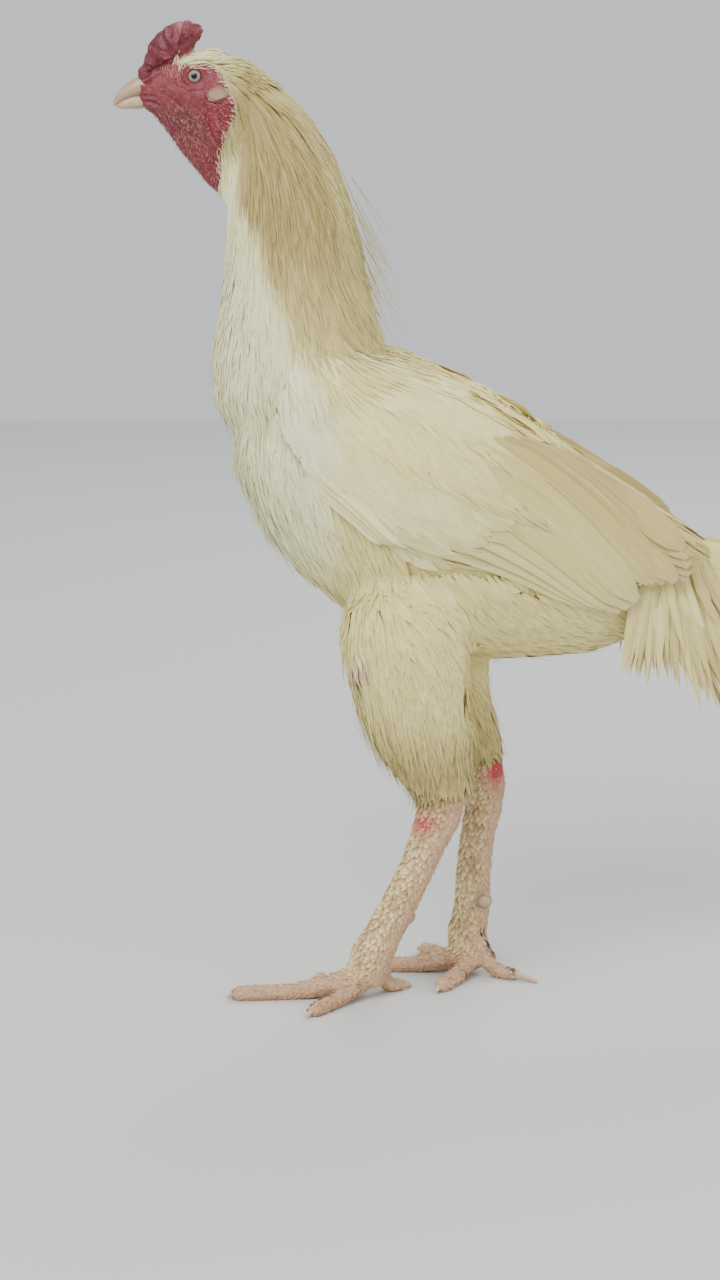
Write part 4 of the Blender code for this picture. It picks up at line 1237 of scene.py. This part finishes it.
wingLook = {
    # Fans of flight feathers, the upper over the lower. Each row of keys is a root (x, z), a tip (x, z)
    # and a half width in mm, with the feathers spread evenly between them; set is how far out the fan
    # starts.
    "secondaries": {"count": 7, "set": -2.2, "keys": (
        (6, 364, 172, 301, 8.5), (42, 398, 191, 298, 11.0), (82, 424, 203, 306, 13.0))},
    "tertials": {"count": 8, "set": 0.0, "keys": (
        (92, 426, 213, 318, 13.0), (118, 424, 241, 323, 13.0), (144, 404, 235, 345, 10.0))},
    "alula": {"count": 4, "set": -0.6, "keys": (
        (-24, 384, 16, 352, 4.4), (-30, 396, 25, 351, 5.2), (-34, 408, 33, 350, 5.6))},
}
flightStep = 0.42  # mm that each feather lies over the one below it
shaftLook = {"out": 0.35, "wide": 0.75, "thick": 0.45}  # mm
flightRows = 12
# The last number sets the darker edges and tips, partly painted shade where the flight feathers overlap.
flightFinish = plumageFinish("flight", 0.4, 0.0, 0.35)


def outermost(trees, x, z, sign):
    # How far out the wing's solids reach, over a point of the side view
    hits = [tree.ray_cast(Vector((x, sign * 200, z)), Vector((0, -sign, 0)))[0] for tree in trees]
    reached = [hit[1] * sign for hit in hits if hit is not None]
    if reached:
        return max(reached)
    beside = [tree.find_nearest((x, sign * 75, z)) for tree in trees]
    return min(beside, key=lambda hit: hit[3])[0][1] * sign


def seatOf(middle):
    # The triangle of skin at each feather's root, and the root's place on it
    return coat.nearest(middle[:, 0])[2:]


def layRow(name, sign, middle, wide, rise, thick, shape, tint, seat, finish=flightFinish, crown=0.1,
           rag=0.02):
    # Long feathers that face outwards, and up by the share rise
    up = np.zeros_like(middle)
    up[..., 1] = sign
    up[..., 2] = rise
    return layVanes(name, coat, middle, up, wide, thick, shape, tint, seat, finish, crown=crown, rag=rag)


def growFlights():
    rng = np.random.default_rng(21)
    t = np.linspace(0, 1, flightRows)
    for side, sign in sides.items():
        trees = [nodeBody(*nodeShape(f"{part}_{side}")) for part in ("wing", "primaries")]
        middles, wides = [], []
        for fan in wingLook.values():
            keys = np.array(fan["keys"], float)
            for k in range(fan["count"]):
                place = k / (fan["count"] - 1) * (len(keys) - 1)
                ax, az, bx, bz, wide = (np.interp(place, range(len(keys)), column) for column in keys.T)
                ax, bx = ax + rng.normal(0, 1.2), bx + rng.normal(0, 0.8)
                bow = 0.05 * math.hypot(bx - ax, bz - az)
                x = ax + (bx - ax) * t
                z = az + (bz - az) * t + bow * np.sin(np.pi * t)
                out = np.array([outermost(trees, px, pz, sign) for px, pz in zip(x, z)])
                smooth = np.polyval(np.polyfit(t, out, 3), t)
                out = smooth + fan["set"] + flightStep * k - 3.0 * (1 - t) ** 2
                middles.append(np.stack([x, out * sign, z], 1))
                wides.append(wide)
        middle = np.stack(middles)
        tint = tintAt(middle.mean(1), np.full(len(middle), "wing"), rng)
        seat = seatOf(middle)
        obj = layRow(f"flights_{side}", sign, middle, np.array(wides), 0.10, 0.35, "blade", tint, seat,
                     rag=0.015)
        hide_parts(f"primaries_{side}")
        ride = middle + (0, sign * shaftLook["out"], 0)
        layRow(f"wing_shafts_{side}", sign, ride, np.full(len(ride), shaftLook["wide"]), 0.10,
               shaftLook["thick"], "wisp", tint, seat, crown=0.3, rag=0.0)


growFlights()

# Tail

tailLook = {
    # straight feathers: root (x, z) in mm, angles of the fan below the horizon, and for its first and
    # last the length, then how far a tip sags, the count and the half width
    "root": (230, 324), "fan": (19, 58), "long": (200, 135), "sag": 22, "rectrices": 9, "wide": 12.5,
    # middle line (x, y, z) and half width of the great sickle, and the lesser ones beside it
    "sickle": ((226, 7, 343), (258, 10, 336), (300, 14, 319), (342, 17, 294), (382, 19, 259),
               (414, 20, 214), (430, 20, 172)),
    "sickleWide": 11.0, "lesser": 26, "lesserLong": (95, 150), "lesserWide": (4.2, 7.0),
    # saddle plumes that hang over the root, and the height of their tips along it
    "hangers": 120, "hangerWide": (2.2, 4.8),
    "hem": ((0, 250), (0.2, 249), (0.4, 242), (0.6, 226), (0.8, 216), (1, 208)),
}


def rectrixLines(sign, t):
    # The straight feathers, from the highest down
    look = tailLook
    found = []
    for k in range(look["rectrices"]):
        u = (k + 0.5) / look["rectrices"]
        angle = math.radians(between(look["fan"], u))
        reach = 8 + (between(look["long"], u) - 8) * t
        found.append(np.stack([
            look["root"][0] + reach * math.cos(angle), sign * (4.0 + 6 * u + 0 * t),
            look["root"][1] - reach * math.sin(angle) - look["sag"] * (reach / look["long"][0]) ** 2], 1))
    return np.stack(found)


def sickleLines(sign, t, rng):
    # The great sickle, then the lesser ones, with the half width of each
    main = resampled(tailLook["sickle"], len(t))
    main[1:-1] = (main[:-2] + 2 * main[1:-1] + main[2:]) / 4
    lines, wides = [main], [tailLook["sickleWide"]]
    for k in range(tailLook["lesser"]):
        u = k / (tailLook["lesser"] - 1)
        step = rng.uniform(*tailLook["lesserLong"]) / (len(t) - 1)
        first = math.radians(8 + 34 * u + rng.normal(0, 3))
        last = math.radians(62 + 18 * u + rng.normal(0, 4))
        angle = between((first, last), t[:-1])
        x = 222 + 22 * rng.random() + np.concatenate([[0], np.cumsum(np.cos(angle) * step)])
        z = 340 - 18 * u + rng.normal(0, 2) - np.concatenate([[0], np.cumsum(np.sin(angle) * step)])
        y = 6 + 11 * u + 6 * np.sin(np.pi * t) + rng.normal(0, 1.2)
        lines.append(np.stack([x, y, z], 1))
        wides.append(rng.uniform(*tailLook["lesserWide"]))
    return np.stack(lines) * (1, sign, 1), np.array(wides)


def plumeLines(sign, t, rng):
    # The saddle's plumes, from the foremost back, some of them short and on top
    count = tailLook["hangers"]
    u = np.sort(rng.random(count))[:, None]
    v = t[None, :]
    stray = rng.normal(0, 1, (4, count))[:, :, None]
    upper = (rng.random(count) < 0.4)[:, None]
    tip = lineAt(tailLook["hem"], u) + 8 * stray[0] + upper * rng.uniform(10, 50, (count, 1))
    x = 204 + 54 * u + (-12 + 62 * u) * v**1.5 + 2.5 * stray[1]
    z = (344 - 12 * u - 6 * np.abs(stray[2])) * (1 - v) + tip * v
    y = 31 - 11 * u + 8 * np.sin(np.pi * v) * (1 - 0.4 * u) + 2.0 * stray[3] + 2.5 * upper
    return np.stack([x, y * sign, z], -1)


def growTail():
    rng = np.random.default_rng(33)
    t = np.linspace(0, 1, flightRows)
    for side, sign in sides.items():
        middle = rectrixLines(sign, t)
        tint = tintAt(middle[:, 3], np.full(len(middle), "tail"), rng)
        tint[:, 0] = np.clip(tint[:, 0], 0.12, 0.4)
        obj = layRow(f"rectrices_{side}", sign, middle, np.full(len(middle), tailLook["wide"]), 0.08, 0.5,
                     "blade", tint, seatOf(middle))
        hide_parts(f"tail_{side}")

        middle, wide = sickleLines(sign, t, rng)
        tint = tintAt(middle[:, 3], np.full(len(middle), "tail"), rng)
        obj = layRow(f"sickles_{side}", sign, middle, wide, 0.15, 0.4, "spear", tint, seatOf(middle),
                     crown=0.18)
        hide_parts(f"sickle_{side}")

        middle = plumeLines(sign, t, rng)
        count = len(middle)
        tint = tintAt(middle[:, 4], np.full(count, "tail"), rng)
        tint[:, 0] = np.clip(rng.normal(0.34, 0.15, count), 0, 1)
        wide = rng.uniform(*tailLook["hangerWide"], count)
        obj = layRow(f"saddle_plumes_{side}", sign, middle, wide, 0.0, 0.3, "spear", tint, seatOf(middle),
                     hackleFinish, 0.2, 0.06)
        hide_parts(f"saddle_{side}")


growTail()

# Eyes, beak, claws and spurs

def eyeFinish():
    # ring is the distance in mm from the eye's axis: pupil, iris, then the dark rim of the ball
    f = Finish("eye")
    ring = f.mask("ring")
    rays = f.noise(1.0, 3.0, f.mask("ray", 1))
    iris = f.mix((0.20, 0.195, 0.13), (0.32, 0.305, 0.22), rays)
    iris = f.mix(iris, (0.16, 0.14, 0.08), f.spread(ring, 2.9, 2.1) * 0.6)
    colour = f.mix((0.003, 0.002, 0.001), iris, f.spread(ring, 2.0, 2.3))
    colour = f.mix(colour, (0.035, 0.025, 0.02), f.spread(ring, 4.0, 4.45))
    return f.surface(Base_Color=colour, Roughness=0.3, Specular_IOR_Level=0.2, Coat_Weight=0.3,
                     Coat_Roughness=0.02)


def makeEyes():
    finish = eyeFinish()
    ball, rings, spokes = eyeLook["ball"], 26, 48
    for side, sign in sides.items():
        axis = unit(np.array((-math.sin(math.radians(eyeLook["turn"])), sign, 0.05)))
        tangent = unit(np.cross(axis, (0, 0, 1.0)))
        other = np.cross(axis, tangent)
        lo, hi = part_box(f"eye_{side}")
        centre = (np.array((lo + hi) / 2) - birdOrigin) / millimetre + (0, 0, eyeLook["raise"])
        points, ring, ray = [], [], []
        for i in range(rings + 1):
            polar = math.pi * i / rings
            for j in range(spokes):
                turn = 2 * math.pi * j / spokes
                r = ball * math.sin(polar)
                outer = polar < math.pi / 2
                bulge = eyeLook["bulge"] * math.exp(-(r / 3.4) ** 2) if outer else 0
                points.append(
                    centre + axis * (ball * math.cos(polar) + bulge)
                    + (tangent * math.cos(turn) + other * math.sin(turn)) * r)
                ring.append(r if outer else ball)
                ray.append((math.cos(turn) * 9, math.sin(turn) * 9, r * 0.8))
        faces = tubeFaces(rings + 1, spokes)
        obj = newMesh(f"eyeball_{side}", toFrame(np.array(points)), faces, finish)
        addMask(obj.data, "ring", ring)
        addMask(obj.data, "ray", ray, "FLOAT_VECTOR")
        turnOut(obj.data, 1e-6)
        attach(obj, "root")
        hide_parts(f"eye_{side}")


def hornFinish(name, base, tip, streak, rimmed=False):
    f = Finish(name)
    grain = f.noise(240.0, 3.0)
    colour = f.mix(base, tip, f.spread(f.noise(90.0, 2.0), 0.35, 0.7))
    colour = f.mix(colour, streak, f.spread(grain, 0.58, 0.8) * 0.5)
    if rimmed:
        colour = f.mix(colour, (0.10, 0.07, 0.04), f.mask("rim"))
    relief = f.bump(f.noise(500.0, 2.0), 0.0003, 0.5)
    return f.surface(
        Base_Color=colour, Roughness=0.38 + grain * 0.15, Normal=relief, Coat_Weight=0.15)


clawGrow = 1.1  # mm added after the rounding, which shrinks a small solid
clawBlunt = 0.5  # how much shorter the worn claws are drawn than the solids


def smoothNodes(name, nodes, finish):
    # The solids of these nodes, rounded and joined in one piece
    parts = []
    for node in nodes:
        points, faces = nodeShape(node)
        if node.startswith("claw") and "hind" not in node:
            points = points + (np.median(points, axis=0) - points) * clawBlunt
        part = newMesh(node + "_part", toFrame(points), faces.tolist())
        rounder = part.modifiers.new("Rounder", "SUBSURF")
        rounder.levels = rounder.render_levels = 2
        part = evaluated(part)
        setPoints(part, pointsOf(part) + normalsOf(part) * clawGrow * millimetre)
        parts.append(part)
        bpy.data.objects.remove(bpy.data.objects[node + "_part"])
    bm = bmesh.new()
    for part in parts:
        bm.from_mesh(part)
    mesh = bpy.data.meshes.new(name)
    bm.to_mesh(mesh)
    bm.free()
    shadeSmooth(mesh)
    mesh.materials.append(finish)
    obj = inScene(name, mesh)
    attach(obj, "root")
    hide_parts(*nodes)
    print(name, len(mesh.polygons), "faces")
    return obj


beakLook = {
    # middle line of x, top z, bottom z and half width, from inside the head to the tip, in mm
    "upper": ((-150, 680, 668, 5.5), (-156, 681.8, 667.4, 6.6), (-161, 680.4, 666.9, 6.7),
              (-166, 677.4, 665.9, 5.8), (-170, 674.8, 664.2, 4.9), (-173, 671.6, 662.4, 4.0),
              (-175.6, 668.2, 660.6, 3.0), (-177.2, 665.0, 659.7, 2.1), (-178.0, 662.4, 660.0, 0.9)),
    "lower": ((-150, 668.8, 659.4, 4.8), (-156, 668.8, 658.2, 5.7), (-162, 668.2, 657.8, 5.4),
              (-167, 666.9, 657.7, 4.5), (-171, 664.8, 657.9, 3.5), (-174, 662.6, 658.4, 2.4),
              (-176.0, 660.8, 659.0, 1.0)),
}


def makeBeak(finish):
    ring, rows = 28, 26
    points, faces = [], []
    neighbours = np.stack([np.arange(rows - 1), np.arange(1, rows)], 1)
    for table in beakLook.values():
        start = len(points)
        line = averaged(resampled(table, rows), neighbours, 2)
        for x, top, bottom, half in line:
            waist = bottom + (top - bottom) * 0.3
            for j in range(ring):
                a = 2 * math.pi * j / ring
                up = (top - waist) if math.cos(a) > 0 else (waist - bottom)
                flat = 0.85 if math.cos(a) > 0 else 1.6
                points.append((x, half * math.copysign(abs(math.sin(a)) ** 0.9, math.sin(a)),
                               waist + up * math.copysign(abs(math.cos(a)) ** flat, math.cos(a))))
        faces += tubeFaces(rows, ring, start)
        faces.append(tuple(range(start, start + ring)))
        faces.append(tuple(range(start + (rows - 1) * ring, start + rows * ring)))
    obj = newMesh("beak_horn", toFrame(np.array(points)), faces, finish)
    turnOut(obj.data)
    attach(obj, "root")
    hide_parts("beak_upper", "beak_lower")


makeEyes()
beakHorn = hornFinish("beakHorn", (0.40, 0.26, 0.15), (0.50, 0.36, 0.24), (0.32, 0.17, 0.09))
clawHorn = hornFinish("clawHorn", (0.50, 0.36, 0.24), (0.60, 0.45, 0.31), (0.20, 0.12, 0.06))
spurHorn = hornFinish("spurHorn", (0.46, 0.33, 0.20), (0.58, 0.44, 0.28), (0.30, 0.19, 0.10), rimmed=True)
makeBeak(beakHorn)
digits = ("hind", "inner", "middle", "outer")
for side in sides:
    smoothNodes(f"claw_horn_{side}", [f"claw_{digit}_{side}" for digit in digits], clawHorn)
    spur = smoothNodes(f"spur_horn_{side}", [f"spur_{side}"], spurHorn)
    reach = pointsOf(spur.data) - pointsOf(spur.data).mean(0)
    reach = reach / np.abs(reach).max(0)
    ringed = bell(np.hypot(reach[:, 0], reach[:, 2]) - 0.72, 0.10) * 0.55
    addMask(spur.data, "rim", np.maximum(ringed, smoothStep(reach[:, 0] - 0.5 * reach[:, 2], 0.95, 1.15)))

# Scales of the legs and toes

scaleLook = {
    # mm: spacing on the shank and on the toes; length, half width, rise at the tip and thickness
    "spacing": (2.9, 2.1), "length": (3.4, 7.0), "wide": (1.0, 2.1), "rise": (0.5, 1.7), "thick": 0.3,
    # height and distance apart of the folds across the toes, in mm
    "fold": 0.9, "foldLength": 5.6,
}


def scaleFinish():
    f = Finish("scales")
    _, along, chance = f.split(f.mask("vane", 1))
    warm, sore, stain = f.split(f.mask("tint", 1))
    patch = f.noise(120.0, 3.0)
    colour = f.mix((0.58, 0.33, 0.21), (0.56, 0.39, 0.17), warm)
    # Painted highlight: each scale's raised tip is drawn paler, most on the front of the shank and on the
    # crests of the toes' folds.
    tips = f.spread(along + chance * 0.4, 0.6, 1.2)
    colour = f.mix(colour, (0.84, 0.69, 0.38), tips * (0.12 + warm * 0.8))
    colour = f.mix(colour, (0.27, 0.14, 0.07), f.spread(patch, 0.50, 0.72) * 0.55)
    # Painted shade: each scale's root, under the tip of the scale above it, is drawn darker.
    roots = f.spread(along + chance * 0.2, 0.55, 0.1)
    colour = f.mix(colour, (0.22, 0.11, 0.06), roots * (0.4 + warm * 0.5))
    colour = f.mix(colour, (0.46, 0.04, 0.06), sore * f.spread(f.noise(420.0, 2.0), 0.32, 0.46))
    colour = f.mix(colour, (0.06, 0.04, 0.03), stain)
    relief = f.bump(f.noise(700.0, 3.0), 0.0004, 0.6)
    return f.surface(Base_Color=colour, Roughness=0.6 + patch * 0.2, Normal=relief)


def slices(name, axis, count):
    # Middle of the solid at even steps along an axis
    points, _ = nodeShape(name)
    reach = points @ axis
    ends = np.linspace(reach.min(), reach.max(), count + 1)
    return np.array([
        points[(reach >= a - 3) & (reach <= b + 3)].mean(0) for a, b in zip(ends[:-1], ends[1:])])


def legGuides(side, sign):
    # The lie of the scales, down the shank and out along each toe
    lines = [slices(f"shank_{side}", np.array((0, 0, -1.0)), 12)]
    foot = lines[0][-1]
    for digit in digits:
        claw, _ = nodeShape(f"claw_{digit}_{side}")
        axis = unit((claw.mean(0) - foot) * np.array((1, 1, 0.2)))
        lines.append(slices(f"toe_{digit}_{side}", axis, 8))
    found = []
    for line in lines:
        way = unit(np.gradient(line, axis=0))
        found += [(p[0], abs(p[1]), p[2], w[0], w[1] * sign, w[2]) for p, w in zip(line, way)]
    return np.array(found), lines[0]


def growScales():
    finish = scaleFinish()
    leg = triMasks["leg"] > 0.6
    for side, sign in sides.items():
        rng = np.random.default_rng(5)
        guides, shank = legGuides(side, sign)
        chosen = np.flatnonzero(leg & (triY * sign > 0) & (triNormal[:, 2] > -0.75))
        onToes = smoothStep(coat.points[:, 2], 34, 22)
        roots = coat.scatter(chosen, between(scaleLook["spacing"], onToes), 9)
        middle = np.stack([np.interp(roots[:, 2], shank[::-1, 2], shank[::-1, k]) for k in (0, 1)], 1)
        toward = unit(roots[:, :2] - middle)
        front = smoothStep(-toward[:, 0], -1.3, 0.35) * smoothStep(roots[:, 2], 10, 32)
        marks = skinMarks(roots)
        size = np.clip(front * 0.7 + rng.random(len(roots)) * 0.4, 0, 1)
        length, wide = between(scaleLook["length"], size), between(scaleLook["wide"], size)
        lifted = np.clip(front * 0.75 + rng.normal(0.1, 0.25, len(roots)), 0, 1)
        rise = between(scaleLook["rise"], lifted)
        foot = shank[-1, :2]
        folds = np.sin(2 * np.pi * np.linalg.norm(roots[:, :2] - foot, axis=1) / scaleLook["foldLength"])
        folds = folds * smoothStep(roots[:, 2], 30, 18)
        rise = rise + scaleLook["fold"] * folds
        middle, ups, face, share = comb(
            coat, roots, length, rise, guides, rows=4, hold=1.0, turn=0.9, wander=0.3, base=0.0)
        # The first share is the yellow front of the shank and the crests of the toes' folds, which also
        # take more of the painted highlight on the scale tips and the painted shade at their roots.
        tint = np.stack([np.clip(front + 0.3 * folds, 0, 1), marks["sore"], marks["stain"]], 1)
        layVanes(f"scales_{side}", coat, middle, ups, wide, scaleLook["thick"], "scale", tint,
                 (face, share), finish, crown=0.35, rag=0.16, soft=0.0)


growScales()

# Stage

floorLook = {"size": 6.0, "colour": (0.62, 0.62, 0.60)}
floorFinish = Finish("floor").surface(Base_Color=floorLook["colour"], Roughness=0.9)
floorCorners = np.array(((-1, -1, 0), (1, -1, 0), (1, 1, 0), (-1, 1, 0))) * floorLook["size"] / 2
floor = newMesh("floor", floorCorners, [(0, 1, 2, 3)], floorFinish)

skyLook = {"colour": (0.86, 0.90, 0.95, 1), "strength": 0.86}
world = bpy.data.worlds.new("studio")
bpy.context.scene.world = world
world.use_nodes = True
sky = world.node_tree.nodes["Background"]
sky.inputs["Color"].default_value = skyLook["colour"]
sky.inputs["Strength"].default_value = skyLook["strength"]
lamps = {
    # place, aimed at the bird's middle; size in metres and power in watts
    "key": ((-1.2, -2.2, 2.6), 2.0, 108),
    "fill": ((2.0, -1.5, 1.6), 2.0, 24),
    "rear": ((0.8, 2.0, 2.2), 1.6, 36),
}
middleOfBird = Vector((0, 0, 0.38))
for lampName, (spot, size, power) in lamps.items():
    light = bpy.data.lights.new(lampName, "AREA")
    light.size = size
    light.energy = power
    lamp = inScene(lampName, light)
    lamp.location = spot
    lamp.rotation_euler = (middleOfBird - Vector(spot)).to_track_quat("-Z", "Y").to_euler()

cameraLook = {"lens": 95.0, "tilt": 11.9, "height": 0.785, "away": 2.46}  # mm, degrees and metres
eyeglass = bpy.data.cameras.new("camera")
eyeglass.lens = cameraLook["lens"]
eyeglass.sensor_width = 36
camera = inScene("camera", eyeglass)
camera.location = (birdOrigin[0], birdOrigin[1] - cameraLook["away"], cameraLook["height"])
camera.rotation_euler = (math.radians(90 - cameraLook["tilt"]), 0, 0)
bpy.context.scene.camera = camera
